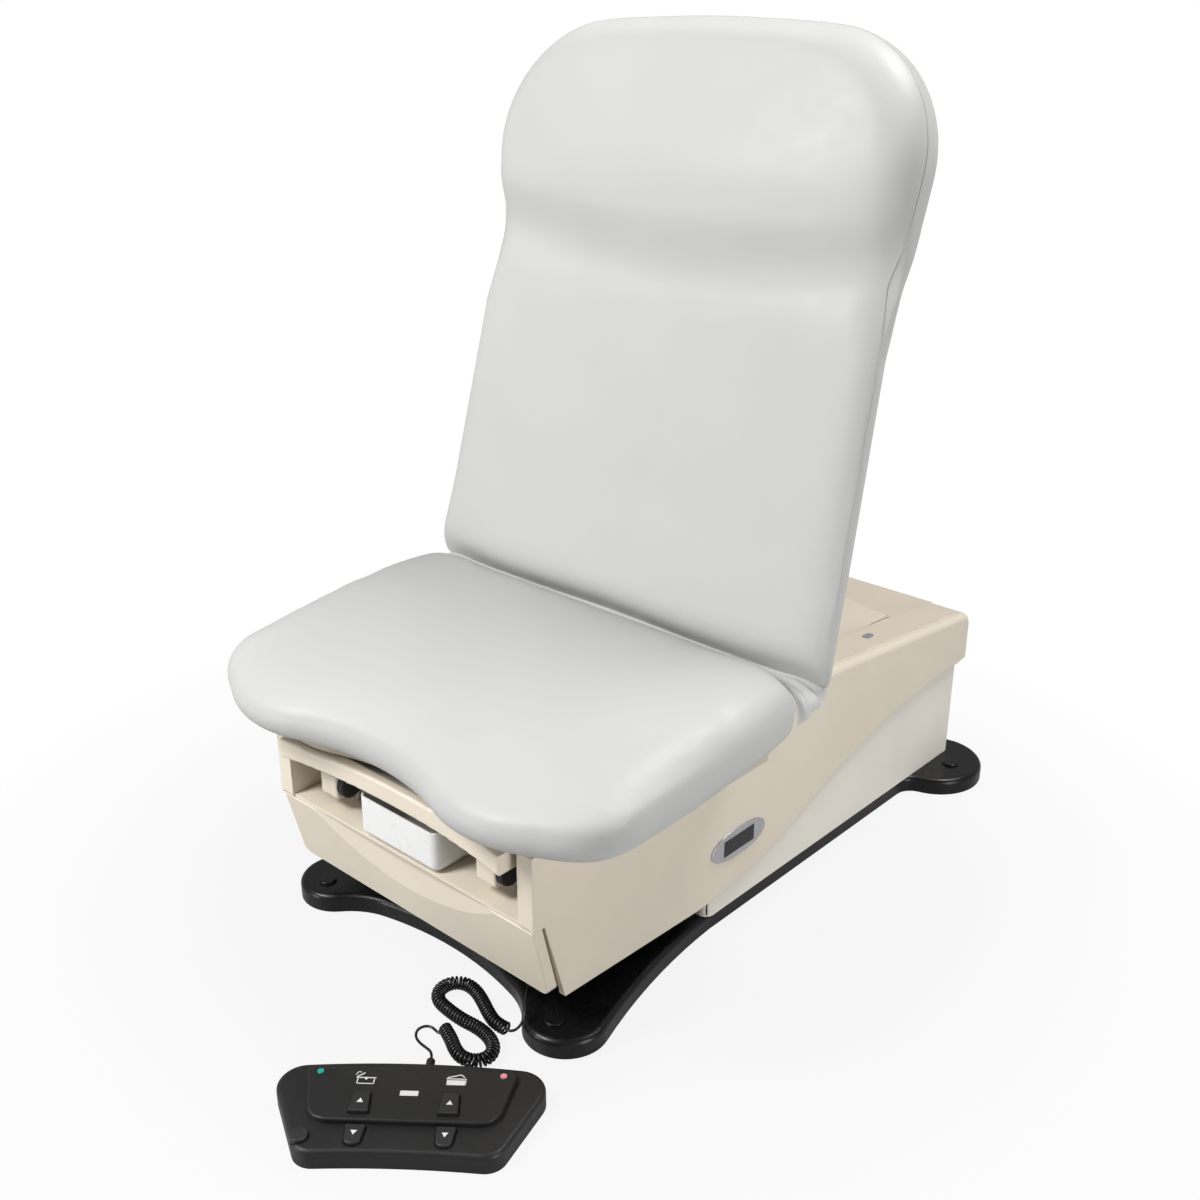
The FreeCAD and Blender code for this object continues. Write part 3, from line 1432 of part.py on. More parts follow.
# Strain relief at the back of the foot control and socket on the raised part of the base
BACK_ARC = "(control_back_bulge * control_back_bulge)"
BACK_V = (
    f"(control_back_v + sqrt({BACK_ARC} - relief_x * relief_x)"
    f" - sqrt({BACK_ARC} - control_back_x * control_back_x))"
)
relief = new_body("cord_strain_relief")
place_on_control(relief)
pad(
    relief, "XZ_Plane", f"-{BACK_V} - relief_long", "relief_long + relief_sink",
    disc("relief_x", "relief_z", "relief_radius"),
)
round_edges(relief, "relief_edge", lambda e: e.BoundBox.YMin > val(f"{BACK_V} + relief_long") - NEAR)
socket = new_body("cord_socket")
pad(socket, "XZ_Plane", "-hump_y", "socket_long", disc("socket_x", "socket_z", "socket_radius"))
round_edges(socket, "socket_edge", lambda e: e.BoundBox.YMax < val("hump_y - socket_long") + NEAR)


def cord_path(points):
    """Straight runs joined by tangent arcs, each as large as its two runs allow."""
    edges = []
    radii = []
    start = points[0]
    for before, here, after in zip(points, points[1:], points[2:]):
        run_in = here - before
        run_out = after - here
        turn = run_in.getAngle(run_out)
        reach = val("run_share") * min(run_in.Length, run_out.Length)
        radii.append(reach / math.tan(turn / 2))
        a = here - Vector(run_in).normalize() * reach
        b = here + Vector(run_out).normalize() * reach
        bisector = (Vector(run_out).normalize() - Vector(run_in).normalize()).normalize()
        middle = here + bisector * (radii[-1] / math.cos(turn / 2) - radii[-1])
        edges.append(Part.LineSegment(start, a).toShape())
        edges.append(Part.Arc(a, middle, b).toShape())
        start = b
    edges.append(Part.LineSegment(start, points[-1]).toShape())
    return Part.Wire(edges), radii


def cord(name, points, diameter):
    """A round cord along the path, with its volume compared with its section times its length."""
    wire, radii = cord_path(points)
    heading = points[1] - points[0]
    ring = Part.Wire(Part.Circle(points[0], heading, diameter / 2).toShape())
    tube = wire.makePipeShell([ring], True, True)
    section = math.pi * diameter**2 / 4
    share = tube.Volume / (section * wire.Length)
    print(name, "length", round(wire.Length), "least radius", round(min(radii), 1), "volume", round(share, 4))
    feature = doc.addObject("Part::Feature", name)
    feature.Shape = tube
    bind(feature, "Placement.Base.y", "-origin_y")
    return keep(feature, name)


doc.recompute()
turn = math.radians(val("control_turn"))
along = Vector(math.cos(turn), math.sin(turn), 0)
towards = Vector(-math.sin(turn), math.cos(turn), 0)
relief_end = Vector(val("control_x"), -val("control_y"), val("relief_z")) + along * val("relief_x")
relief_end = relief_end + towards * val(f"{BACK_V} + relief_long")
coil_z = val("coil_diameter / 2")
coil_points = [
    Vector(132, -40.7, coil_z),
    Vector(154, -48.7, coil_z),
    Vector(174, -60, coil_z),
    Vector(194, -66, coil_z),
    Vector(213, -60, coil_z),
    Vector(223, -43, coil_z),
    Vector(216, -24, coil_z),
    Vector(196, -12, coil_z),
    Vector(168, -8, coil_z),
    Vector(138, -12, coil_z),
    Vector(108, -11, coil_z),
    Vector(80, -7, coil_z),
    Vector(64, 9, coil_z),
    Vector(64, 31, coil_z),
    Vector(79, 46, coil_z),
    Vector(103, 46, coil_z),
    Vector(129, 36, coil_z),
    Vector(155, 23, coil_z),
    Vector(180, 14, coil_z),
    Vector(198, 17, coil_z),
]
control_points = [
    relief_end,
    relief_end + towards * val("lead_straight"),
    Vector(136, -80, 7),
    Vector(120, -76, 5),
    Vector(106, -66, 4),
    Vector(99, -50, 4),
    Vector(105, -36, 6),
    Vector(119, -32, coil_z),
    coil_points[0],
]
socket_mouth = Vector(val("socket_x"), val("hump_y - socket_long"), val("socket_z"))
base_points = [
    coil_points[-1],
    Vector(220, 14, coil_z),
    Vector(233, 14, 26),
    Vector(224, 22, 52),
    Vector(197, 58, 54),
    Vector(184, 82, 54),
    socket_mouth,
]
cord("cord_coil", coil_points, val("coil_diameter"))
cord("cord_lead_control", control_points, val("lead_diameter"))
cord("cord_lead_base", base_points, val("lead_diameter"))

doc.recompute()
failed = [obj.Label for obj in doc.Objects if "Invalid" in obj.State or "Error" in obj.State]
if failed:
    raise RuntimeError(f"failed: {failed}")
for before, feature in cuts:
    if before.Shape.Volume - feature.Shape.Volume < LEAST:
        raise RuntimeError(f"{feature.Name} cuts nothing")
for name, obj in nodes:
    if obj.Shape.isNull() or not obj.Shape.isValid() or not obj.Shape.Solids:
        raise RuntimeError(f"{name} has no valid solid")

os.makedirs("parts", exist_ok=True)
for name, obj in nodes:
    obj.Shape.exportStep(f"parts/{name}.step")
print(len(nodes), "nodes")
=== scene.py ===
import math
import bmesh
import bpy
from mathutils import Matrix, Vector
from mathutils.bvhtree import BVHTree


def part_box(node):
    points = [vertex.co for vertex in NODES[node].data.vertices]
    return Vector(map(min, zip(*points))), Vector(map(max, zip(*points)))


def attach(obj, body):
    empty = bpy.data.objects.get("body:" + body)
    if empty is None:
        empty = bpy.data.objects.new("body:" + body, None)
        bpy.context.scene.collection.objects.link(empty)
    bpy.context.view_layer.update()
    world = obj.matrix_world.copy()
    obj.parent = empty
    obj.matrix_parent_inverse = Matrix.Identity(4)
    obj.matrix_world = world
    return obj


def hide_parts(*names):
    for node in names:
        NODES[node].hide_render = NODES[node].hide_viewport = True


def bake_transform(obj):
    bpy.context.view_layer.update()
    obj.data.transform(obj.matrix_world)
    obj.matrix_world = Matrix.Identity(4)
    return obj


# Dresses the examination table: vinyl upholstery, moulded covers, foot control and its curly cord.
# Everything is in metres in the frame of the CAD model: X across, Y towards the head end, Z up.

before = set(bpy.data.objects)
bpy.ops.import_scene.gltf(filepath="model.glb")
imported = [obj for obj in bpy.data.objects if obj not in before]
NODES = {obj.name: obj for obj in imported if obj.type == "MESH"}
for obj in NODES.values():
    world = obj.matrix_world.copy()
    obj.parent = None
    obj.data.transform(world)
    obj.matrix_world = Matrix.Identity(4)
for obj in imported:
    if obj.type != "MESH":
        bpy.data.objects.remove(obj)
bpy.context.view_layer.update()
SCENE = bpy.context.scene

# Driving values: the seat's box, the back's angle at rest, and how far the frame's origin lies behind the
# front of the cheeks, in millimetres
SEAT_LOW, SEAT_HIGH = (Vector(corner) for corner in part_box("seat_cushion"))
BACK_ANGLE = math.radians(75)
MM = 0.001
ORIGIN_Y = 413.37


def on_table(points):
    """Points given in millimetres from the front of the cheeks, in the frame's metres."""
    return [Vector((x, y - ORIGIN_Y, z)) * MM for x, y, z in points]


CREASE = on_table([(0, 451, 455)])[0]


# Meshes

def new_object(name, data):
    obj = bpy.data.objects.new(name, data)
    SCENE.collection.objects.link(obj)
    return obj


def mesh_object(name, verts, faces, smooth=True):
    mesh = bpy.data.meshes.new(name)
    mesh.from_pydata([tuple(v) for v in verts], [], faces)
    mesh.validate()
    mesh.polygons.foreach_set("use_smooth", [smooth] * len(mesh.polygons))
    return new_object(name, mesh)


def settle(obj):
    """Replace an object's mesh by what its modifiers make of it."""
    bpy.context.view_layer.update()
    graph = bpy.context.evaluated_depsgraph_get()
    mesh = bpy.data.meshes.new_from_object(obj.evaluated_get(graph))
    obj.modifiers.clear()
    obj.data = mesh
    return obj


def modify(obj, kind, **values):
    modifier = obj.modifiers.new(kind.lower(), kind)
    for key, value in values.items():
        setattr(modifier, key, value)
    return modifier


def dress(obj, material, body):
    """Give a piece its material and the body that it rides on."""
    obj.data.materials.clear()
    obj.data.materials.append(material)
    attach(obj, body)


def plate(name, outlines, thick, place, bevel=0.0):
    """Flat plates: outlines in the plane of place, thick along its local Z, with rounded front edges."""
    mesh = bpy.data.meshes.new(name)
    bm = bmesh.new()
    for outline in outlines:
        face = bm.faces.new([bm.verts.new((u, v, 0)) for u, v in outline])
        top = bmesh.ops.extrude_face_region(bm, geom=[face])
        lifted = [item for item in top["geom"] if isinstance(item, bmesh.types.BMVert)]
        bmesh.ops.translate(bm, vec=(0, 0, thick), verts=lifted)
    bmesh.ops.recalc_face_normals(bm, faces=bm.faces)
    bm.to_mesh(mesh)
    bm.free()
    obj = new_object(name, mesh)
    obj.matrix_world = place
    if bevel:
        modify(obj, "BEVEL", width=bevel, segments=3, limit_method="ANGLE", angle_limit=math.radians(50))
    return obj


def oval(half_u, half_v, power=2.0, count=48):
    """Points of a superellipse."""
    points = []
    for i in range(count):
        angle = 2 * math.pi * i / count
        c, s = math.cos(angle), math.sin(angle)
        points.append((
            math.copysign(half_u * abs(c) ** (2 / power), c),
            math.copysign(half_v * abs(s) ** (2 / power), s),
        ))
    return points


def box_outline(half_u, half_v, v=0.0):
    """Corners of a rectangle about a point on the V axis."""
    return [(-half_u, v - half_v), (half_u, v - half_v), (half_u, v + half_v), (-half_u, v + half_v)]


def stroke(start, end, width):
    """Outline of a straight line of some width."""
    a, b = Vector(start), Vector(end)
    side = (b - a).orthogonal().normalized() * (width / 2)
    return [tuple(a - side), tuple(b - side), tuple(b + side), tuple(a + side)]


def along(points):
    """Running lengths of a chain of points."""
    lengths = [0.0]
    for a, b in zip(points, points[1:]):
        lengths.append(lengths[-1] + (b - a).length)
    return lengths


def stations(points, count):
    """Evenly spaced places along a chain, each with its heading."""
    lengths = along(points)
    result = []
    index = 0
    for step in range(count + 1):
        travel = lengths[-1] * step / count
        while index < len(points) - 2 and lengths[index + 1] < travel:
            index += 1
        share = (travel - lengths[index]) / (lengths[index + 1] - lengths[index])
        heading = (points[index + 1] - points[index]).normalized()
        result.append((points[index].lerp(points[index + 1], share), heading))
    return result


def curve_data(name, points, kind):
    """Curve with one spline of some kind through or near these points."""
    curve = bpy.data.curves.new(name, "CURVE")
    curve.dimensions = "3D"
    spline = curve.splines.new(kind)
    spline.points.add(len(points) - 1)
    for control, point in zip(spline.points, points):
        control.co = (*point, 1)
    return curve


def nurbs(name, points, resolution):
    """Smooth curve with these control points, from the first to the last."""
    curve = curve_data(name, points, "NURBS")
    curve.resolution_u = resolution
    curve.splines[0].order_u = 3
    curve.splines[0].use_endpoint_u = True
    return curve


def curve_points(name, points, resolution):
    """Points along a smooth line with these control points."""
    obj = new_object(name, nurbs(name, points, resolution))
    result = [v.co.copy() for v in bpy.data.meshes.new_from_object(obj).vertices]
    bpy.data.objects.remove(obj)
    return result


# Materials

def srgb(red, green, blue):
    """Linear colour of an 8-bit screen colour."""
    shares = [value / 255 for value in (red, green, blue)]
    return [v / 12.92 if v <= 0.04045 else ((v + 0.055) / 1.055) ** 2.4 for v in shares] + [1.0]


def spread_value(tree, source, start, end, low, high):
    """Map a value from one range onto another."""
    node = tree.nodes.new("ShaderNodeMapRange")
    for key, value in (("From Min", start), ("From Max", end), ("To Min", low), ("To Max", high)):
        node.inputs[key].default_value = value
    tree.links.new(source, node.inputs["Value"])
    return node.outputs["Result"]


class Finish:
    """A Principled material with a procedural grain."""

    def __init__(self, name, colour, roughness, **sockets):
        self.material = bpy.data.materials.new(name)
        self.material.use_nodes = True
        self.tree = self.material.node_tree
        self.shader = self.tree.nodes["Principled BSDF"]
        self.colour = colour
        self.roughness = roughness
        self.shader.inputs["Base Color"].default_value = colour
        self.shader.inputs["Roughness"].default_value = roughness
        self.material.diffuse_color = colour
        for key, value in sockets.items():
            self.shader.inputs[key.replace("_", " ")].default_value = value
        self.place = self.tree.nodes.new("ShaderNodeTexCoord").outputs["Object"]

    def soft_edges(self, radius):
        """Shade sharp edges as if they were rounded."""
        node = self.tree.nodes.new("ShaderNodeBevel")
        node.samples = 4
        node.inputs["Radius"].default_value = radius
        self.tree.links.new(node.outputs["Normal"], self.shader.inputs["Normal"])
        return self

    def texture(self, kind, scale, stretch=(1, 1, 1), **values):
        mapping = self.tree.nodes.new("ShaderNodeMapping")
        mapping.inputs["Scale"].default_value = [scale * s for s in stretch]
        self.tree.links.new(self.place, mapping.inputs["Vector"])
        node = self.tree.nodes.new("ShaderNodeTex" + kind)
        for key, value in values.items():
            node.inputs[key].default_value = value
        node.inputs["Scale"].default_value = 1.0
        self.tree.links.new(mapping.outputs["Vector"], node.inputs["Vector"])
        return node.outputs["Distance"] if kind == "Voronoi" else node.outputs[0]

    def spread(self, source, low, high):
        """Map the middle of a texture's values onto a range."""
        return spread_value(self.tree, source, 0.3, 0.7, low, high)

    def vary_colour(self, source, other):
        mix = self.tree.nodes.new("ShaderNodeMix")
        mix.data_type = "RGBA"
        self.tree.links.new(self.spread(source, 0.0, 1.0), mix.inputs["Factor"])
        mix.inputs["A"].default_value = self.colour
        mix.inputs["B"].default_value = other
        self.tree.links.new(mix.outputs["Result"], self.shader.inputs["Base Color"])
        return self

    def vary_roughness(self, source, spread):
        result = self.spread(source, self.roughness - spread, self.roughness + spread)
        self.tree.links.new(result, self.shader.inputs["Roughness"])
        return self

    def bump(self, source, strength, depth):
        node = self.tree.nodes.new("ShaderNodeBump")
        node.inputs["Strength"].default_value = strength
        node.inputs["Distance"].default_value = depth
        self.tree.links.new(source, node.inputs["Height"])
        before = self.shader.inputs["Normal"]
        if before.is_linked:
            self.tree.links.new(before.links[0].from_socket, node.inputs["Normal"])
        self.tree.links.new(node.outputs["Normal"], before)
        return self


def shade(colour, share):
    return [value * share for value in colour[:3]] + [1.0]


def moulded(name, colour, roughness, grain=1400, depth=0.00012, gloss=0.5):
    """Injection-moulded plastic with a fine spark-eroded grain and slight unevenness."""
    finish = Finish(name, colour, roughness, Specular_IOR_Level=gloss)
    finish.soft_edges(0.0015)
    cloud = finish.texture("Noise", 7, Detail=3.0)
    finish.vary_colour(cloud, shade(colour, 0.95))
    finish.vary_roughness(finish.texture("Noise", 60, Detail=4.0), 0.05)
    finish.bump(finish.texture("Noise", grain, Detail=2.0), 0.25, depth)
    return finish.material


def vinyl(name, colour):
    """Smooth upholstery vinyl: fine pebble grain, broad soft unevenness of the sheen."""
    finish = Finish(name, colour, 0.42, Specular_IOR_Level=0.2)
    finish.vary_colour(finish.texture("Noise", 5, Detail=2.0), shade(colour, 0.965))
    finish.vary_roughness(finish.texture("Noise", 25, Detail=3.0), 0.05)
    finish.bump(finish.texture("Voronoi", 850), 0.22, 0.0002)
    finish.bump(finish.texture("Noise", 9, Detail=2.0), 0.12, 0.002)
    return finish.material


def metal(name, colour, roughness, stretch=(1, 1, 1), grain=300):
    finish = Finish(name, colour, roughness, Metallic=1.0)
    streak = finish.texture("Noise", grain, stretch, Detail=3.0)
    finish.vary_roughness(streak, roughness * 0.3)
    finish.bump(streak, 0.06, 0.0001)
    return finish.material


def painted(name, colour, roughness):
    """Powder coat: fine orange peel."""
    finish = Finish(name, colour, roughness)
    finish.vary_roughness(finish.texture("Noise", 120, Detail=2.0), 0.06)
    finish.bump(finish.texture("Voronoi", 420), 0.15, 0.0002)
    return finish.material


def rubber(name, colour, roughness):
    finish = Finish(name, colour, roughness)
    finish.vary_colour(finish.texture("Noise", 40, Detail=3.0), shade(colour, 0.75))
    finish.bump(finish.texture("Noise", 900, Detail=2.0), 0.2, 0.00015)
    return finish.material


def lens(name, colour):
    finish = Finish(name, colour, 0.12, Coat_Weight=0.6, IOR=1.5)
    finish.vary_colour(finish.texture("Noise", 500, Detail=1.0), shade(colour, 0.8))
    return finish.material


def printed(name, colour):
    """Screen-printed ink, slightly uneven."""
    finish = Finish(name, colour, 0.5)
    finish.vary_colour(finish.texture("Noise", 300, Detail=2.0), shade(colour, 0.93))
    return finish.material


VINYL = vinyl("light_grey_vinyl", srgb(196, 196, 194))
SEAM = vinyl("seam_vinyl", srgb(176, 176, 174))
CREAM = moulded("cream_moulding", srgb(231, 221, 203), 0.4)
# The cream moulding made lighter for the lift covers: painted light, standing in for the floor's bounce onto
# these low side panels.
BOUNCE_LIT_CREAM = moulded("cream_painted_bounce_light", srgb(243, 238, 227), 0.45)
WHITE = moulded("white_moulding", srgb(240, 240, 238), 0.3)
BLACK = moulded("black_moulding", srgb(17, 17, 18), 0.3, 900, 0.00016, 0.3)
CONTROL = moulded("charcoal_moulding", srgb(31, 31, 32), 0.45, 1100, 0.0002, 0.35)
KEY = rubber("key_rubber", srgb(34, 34, 35), 0.5)
PAD = rubber("pad_rubber", srgb(22, 22, 22), 0.7)
CORD = rubber("cord_rubber", srgb(14, 14, 15), 0.3)
FRAME_PAINT = painted("frame_paint", srgb(52, 53, 55), 0.45)
COLUMN_PAINT = painted("column_paint", srgb(150, 150, 152), 0.4)
STEEL = metal("brushed_steel", srgb(190, 190, 192), 0.32, (1, 0.04, 1))
CHROME = metal("polished_chrome", srgb(226, 226, 228), 0.12)
BADGE = metal("brushed_badge", srgb(206, 206, 210), 0.3, (1, 0.05, 0.05), 900)
SEALED_BOARD = painted("sealed_board", srgb(206, 196, 178), 0.5)
LAMINATE = moulded("board_laminate", srgb(222, 218, 208), 0.35)
LENS_GREEN = lens("lens_green", srgb(38, 178, 166))
LENS_RED = lens("lens_red", srgb(240, 150, 160))
INK = printed("white_ink", srgb(238, 238, 236))
DARK_PLATE = moulded("dark_plate", srgb(24, 24, 26), 0.22)

LOOKS = {
    CREAM: (
        "shroud_right", "shroud_left", "wing_lids", "rear_cowl", "drawer_front", "leg_board_bar",
        "stirrup_foot_right", "stirrup_foot_left", "back_shell", "bay_shelf",
    ),
    # Lift covers take the lighter cream, whose extra lightness is painted bounce light from the floor.
    BOUNCE_LIT_CREAM: ("base_cover", "mid_cover", "inner_cover"),
    WHITE: ("treatment_pan", "drawer_box", "pan_rails"),
    BLACK: ("base_moulding", "foot_caps", "power_inlet", "cord_socket", "board_guides"),
    CONTROL: ("control_housing", "control_key_pad"),
    KEY: ("back_up_key", "table_up_key", "back_down_key", "table_down_key", "home_key"),
    PAD: ("levelling_feet", "cord_strain_relief", "stirrup_pivot_right", "stirrup_pivot_left"),
    CORD: ("cord_coil", "cord_lead_control", "cord_lead_base"),
    FRAME_PAINT: (
        "chassis_plate", "carriage_plate", "hinge_brackets", "back_arms", "lift_motors", "back_gearmotor",
    ),
    COLUMN_PAINT: tuple(
        f"column_{end}_{stage}" for end in ("front", "rear") for stage in ("outer", "middle", "inner")
    ),
    STEEL: ("hinge_shaft", "stirrup_sleeves", "drawer_runners", "drawer_guides"),
    CHROME: ("stirrup_bar_right", "stirrup_bar_left"),
    SEALED_BOARD: ("seat_board",),
    LAMINATE: ("leg_board",),
    VINYL: ("seat_cushion", "back_cushion", "headrest_cushion"),
    LENS_GREEN: ("lens_left",),
    LENS_RED: ("lens_right",),
}
for material, names in LOOKS.items():
    for name in names:
        NODES[name].data.materials.clear()
        NODES[name].data.materials.append(material)


# Upholstery

VOXEL = 0.006
ROUNDING = 16
EASE_ALL = 6
EVEN_ROUNDS = 40
CLOTH = {
    "use_pressure": True, "uniform_pressure_force": 4.0, "quality": 4, "tension_stiffness": 25,
    "compression_stiffness": 25, "shear_stiffness": 15, "bending_stiffness": 2,
}
CLOTH_FRAMES = 20
CLOTH_REACH = 0.006


def fade(value, start, end):
    """0 up to start, 1 from end on, and a smooth rise between them."""
    share = min(max((value - start) / (end - start), 0.0), 1.0)
    return share * share * (3 - 2 * share)


def soft_copy(name, nodes):
    """One closed skin over some CAD solids, with its edges rounded off."""
    mesh = bpy.data.meshes.new(name)
    bm = bmesh.new()
    for node in nodes:
        bm.from_mesh(NODES[node].data)
    bm.to_mesh(mesh)
    bm.free()
    obj = new_object(name, mesh)
    modify(obj, "REMESH", mode="VOXEL", voxel_size=VOXEL)
    modify(obj, "SMOOTH", factor=0.5, iterations=ROUNDING)
    return settle(obj)


def reshape(obj, move):
    """Move every point of a skin by a function of its place."""
    for vertex in obj.data.vertices:
        vertex.co = move(vertex.co.copy())


def ease(obj, weight, rounds):
    """Smooth a skin where weight(point) is above 0."""
    group = obj.vertex_groups.new(name="ease")
    for vertex in obj.data.vertices:
        share = weight(vertex.co)
        if share > 0:
            group.add([vertex.index], share, "REPLACE")
    modify(obj, "SMOOTH", factor=0.5, iterations=rounds, vertex_group="ease")
    settle(obj)
    obj.vertex_groups.clear()


def shown(obj):
    """Places of a skin's points after its modifiers."""
    graph = bpy.context.evaluated_depsgraph_get()
    return [v.co.copy() for v in obj.evaluated_get(graph).data.vertices]


def evened(obj, places):
    """Places of a skin's points, each averaged with its neighbours."""
    for vertex, place in zip(obj.data.vertices, places):
        vertex.co = place
    modify(obj, "SMOOTH", factor=0.5, iterations=EVEN_ROUNDS)
    bpy.context.view_layer.update()
    result = shown(obj)
    obj.modifiers.clear()
    return result


def inflate(obj, freedom):
    """
    Let the foam fill the skin by a short cloth simulation, with no shift longer than CLOTH_REACH.

    The shifts are averaged between neighbours, so that no stray crumple is left. freedom(point) is 0 where
    the skin is held and 1 where it is free.
    """
    rest = [v.co.copy() for v in obj.data.vertices]
    settings = modify(obj, "CLOTH").settings
    for key, value in CLOTH.items():
        setattr(settings, key, value)
    settings.effector_weights.gravity = 0
    for step in range(1, CLOTH_FRAMES + 1):
        SCENE.frame_set(step)
    shifts = [end - start for start, end in zip(rest, shown(obj))]
    obj.modifiers.clear()
    SCENE.frame_set(1)
    moved = [
        start + shift * (CLOTH_REACH / max(shift.length, CLOTH_REACH)) for start, shift in zip(rest, shifts)
    ]
    before, after = evened(obj, rest), evened(obj, moved)
    for vertex, start, a, b in zip(obj.data.vertices, rest, before, after):
        vertex.co = start + (b - a) * freedom(start)


def finish_skin(obj):
    """Smooth a skin lightly and make its mesh finer."""
    modify(obj, "SMOOTH", factor=0.5, iterations=4)
    settle(obj)
    modify(obj, "SUBSURF", levels=1, render_levels=1)
    settle(obj)
    obj.data.polygons.foreach_set("use_smooth", [True] * len(obj.data.polygons))


def to_back(point):
    """Along the back from the crease, and out from its plane towards the patient."""
    away = point - CREASE
    c, s = math.cos(BACK_ANGLE), math.sin(BACK_ANGLE)
    return away.y * c + away.z * s, away.z * c - away.y * s


def from_back(x, along, out):
    """Point at a place across, along and out from the back."""
    c, s = math.cos(BACK_ANGLE), math.sin(BACK_ANGLE)
    return CREASE + Vector((x, along * c - out * s, along * s + out * c))


STRIP = 0.012


def plan_front(obj):
    """Lowest Y of a skin in strips across X."""
    front = {}
    for vertex in obj.data.vertices:
        strip = round(vertex.co.x / STRIP)
        front[strip] = min(front.get(strip, vertex.co.y), vertex.co.y)
    return lambda x: front[round(x / STRIP)]


def half_width(obj):
    """Half the width of a skin in strips along the back."""
    width = {}
    for vertex in obj.data.vertices:
        strip = round(to_back(vertex.co)[0] / STRIP)
        width[strip] = max(width.get(strip, 0.0), abs(vertex.co.x))
    return lambda along: width[round(along / STRIP)]


RIM_WIDE = 0.09
RIM_LIFT = 0.011
RIM_LIFT_REAR = 0.02
REAR_REACH = 0.3
UNDERSIDE = 0.07
RIM_DROP = 0.012
DROP_FROM, DROP_FULL = 0.06, 0.02
SIDE_FROM, SIDE_FULL = 0.3, 0.4
REAR_CORNER = 0.115
REAR_PULL = 0.022
PULL_REACH = 0.09
REAR_NARROW = 0.012
NARROW_REACH = 0.14


def seat_shape(front):
    """The seat's rim is drawn up round the board, and its rear corners are rounded off at the sides."""
    def move(p):
        inside = min(SEAT_HIGH.x - abs(p.x), p.y - front(p.x))
        rim = 1 - fade(inside, 0.0, RIM_WIDE)
        lift = RIM_LIFT + RIM_LIFT_REAR * fade(p.y, CREASE.y - REAR_REACH, CREASE.y)
        p.z += lift * rim * (1 - fade(p.z, SEAT_LOW.z, SEAT_LOW.z + UNDERSIDE))
        p.z -= RIM_DROP * rim**2 * fade(p.z, SEAT_HIGH.z - DROP_FROM, SEAT_HIGH.z - DROP_FULL)
        side = fade(abs(p.x), SIDE_FROM, SIDE_FULL)
        reach = p.y - (CREASE.y - REAR_CORNER)
        if reach > 0:
            rise = REAR_CORNER - math.sqrt(max(REAR_CORNER**2 - min(reach, REAR_CORNER) ** 2, 0.0))
            p.z += max(SEAT_LOW.z + rise - p.z, 0.0) * side
        p.y -= REAR_PULL * side * fade(p.y, CREASE.y - PULL_REACH, CREASE.y)
        p.x -= math.copysign(REAR_NARROW * fade(p.y, CREASE.y - NARROW_REACH, CREASE.y) * side, p.x)
        return p

    return move


seat = soft_copy("seat_upholstery", ["seat_cushion"])
reshape(seat, seat_shape(plan_front(seat)))
ease(seat, lambda p: 1.0, EASE_ALL)
inflate(seat, lambda p: fade(p.z, SEAT_LOW.z + 0.004, SEAT_LOW.z + 0.03))
finish_skin(seat)
dress(seat, VINYL, "carriage")
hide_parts("seat_cushion")

# Sizes along the back are from the crease; those of the roll are from the bottom of the neck's valley
BACK_HALF = 0.4
NECK = 0.57
NECK_SAG = 0.045
NECK_ROUNDS = 420
ROLL_OUT = 0.034
ROLL_RISE = (-0.015, 0.085)
ROLL_FALL = (0.13, 0.36)
VALLEY_DEEP = 0.006
VALLEY_WIDE = 0.045
BACK_CROWN = 0.015
HOLLOW_DEEP = 0.004
HOLLOW_RISE = (0.1, 0.2)
HOLLOW_FALL = (0.42, 0.52)
BACK_FULL = 1.008
WAIST = 0.46
SHOULDER = 0.72


def bell(value, middle, width):
    """1 at the middle, falling away smoothly on both sides."""
    return math.exp(-(((value - middle) / width) ** 2))


def back_shape(width):
    """The headrest is a full roll over a curved valley, and the sides run past the valley without a notch."""
    low, high = width(WAIST), width(SHOULDER)

    def move(p):
        along, out = to_back(p)
        front = fade(out, -0.03, 0.01)
        across = min(abs(p.x) / BACK_HALF, 1.0)
        wide = 1 - across**2
        neck = NECK - NECK_SAG * wide
        roll = fade(along - neck, *ROLL_RISE) * (1 - fade(along - neck, *ROLL_FALL))
        swell = ROLL_OUT * roll * (0.3 + 0.7 * wide) - VALLEY_DEEP * bell(along, neck, VALLEY_WIDE)
        swell -= BACK_CROWN * across**4
        swell -= HOLLOW_DEEP * wide * fade(along, *HOLLOW_RISE) * (1 - fade(along, *HOLLOW_FALL))
        side = BACK_FULL
        if WAIST < along < SHOULDER:
            side *= (low + (high - low) * fade(along, WAIST, SHOULDER)) / width(along)
        return from_back(p.x * side, along, out + front * swell)

    return move


def neck_weight(p):
    """1 on the front of the skin at the joint of the headrest and the back."""
    along, out = to_back(p)
    return (1 - fade(abs(along - NECK), 0.03, 0.13)) * max(fade(out, -0.015, 0.01), 0.12)


back = soft_copy("back_upholstery", ["back_cushion", "headrest_cushion"])
ease(back, neck_weight, NECK_ROUNDS)
reshape(back, back_shape(half_width(back)))
ease(back, lambda p: 1.0, EASE_ALL)
inflate(back, lambda p: fade(to_back(p)[1], -0.05, -0.02))
finish_skin(back)
dress(back, VINYL, "back")
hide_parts("back_cushion", "headrest_cushion")


def bead(name, points, radius):
    """A thin round bead through some points, as a mesh."""
    curve = curve_data(name, points, "POLY")
    curve.bevel_depth = radius
    curve.bevel_resolution = 2
    line = new_object(name, curve)
    mesh = bpy.data.meshes.new_from_object(line)
    bpy.data.objects.remove(line)
    mesh.polygons.foreach_set("use_smooth", [True] * len(mesh.polygons))
    return new_object(name, mesh)


SEAM_OUT = -0.006
SEAM_MIDDLE = 0.45
SEAM_STEPS = 240
SEAM_SWEEP = 130
SEAM_SINK = 0.0004
SEAM_RADIUS = 0.0011


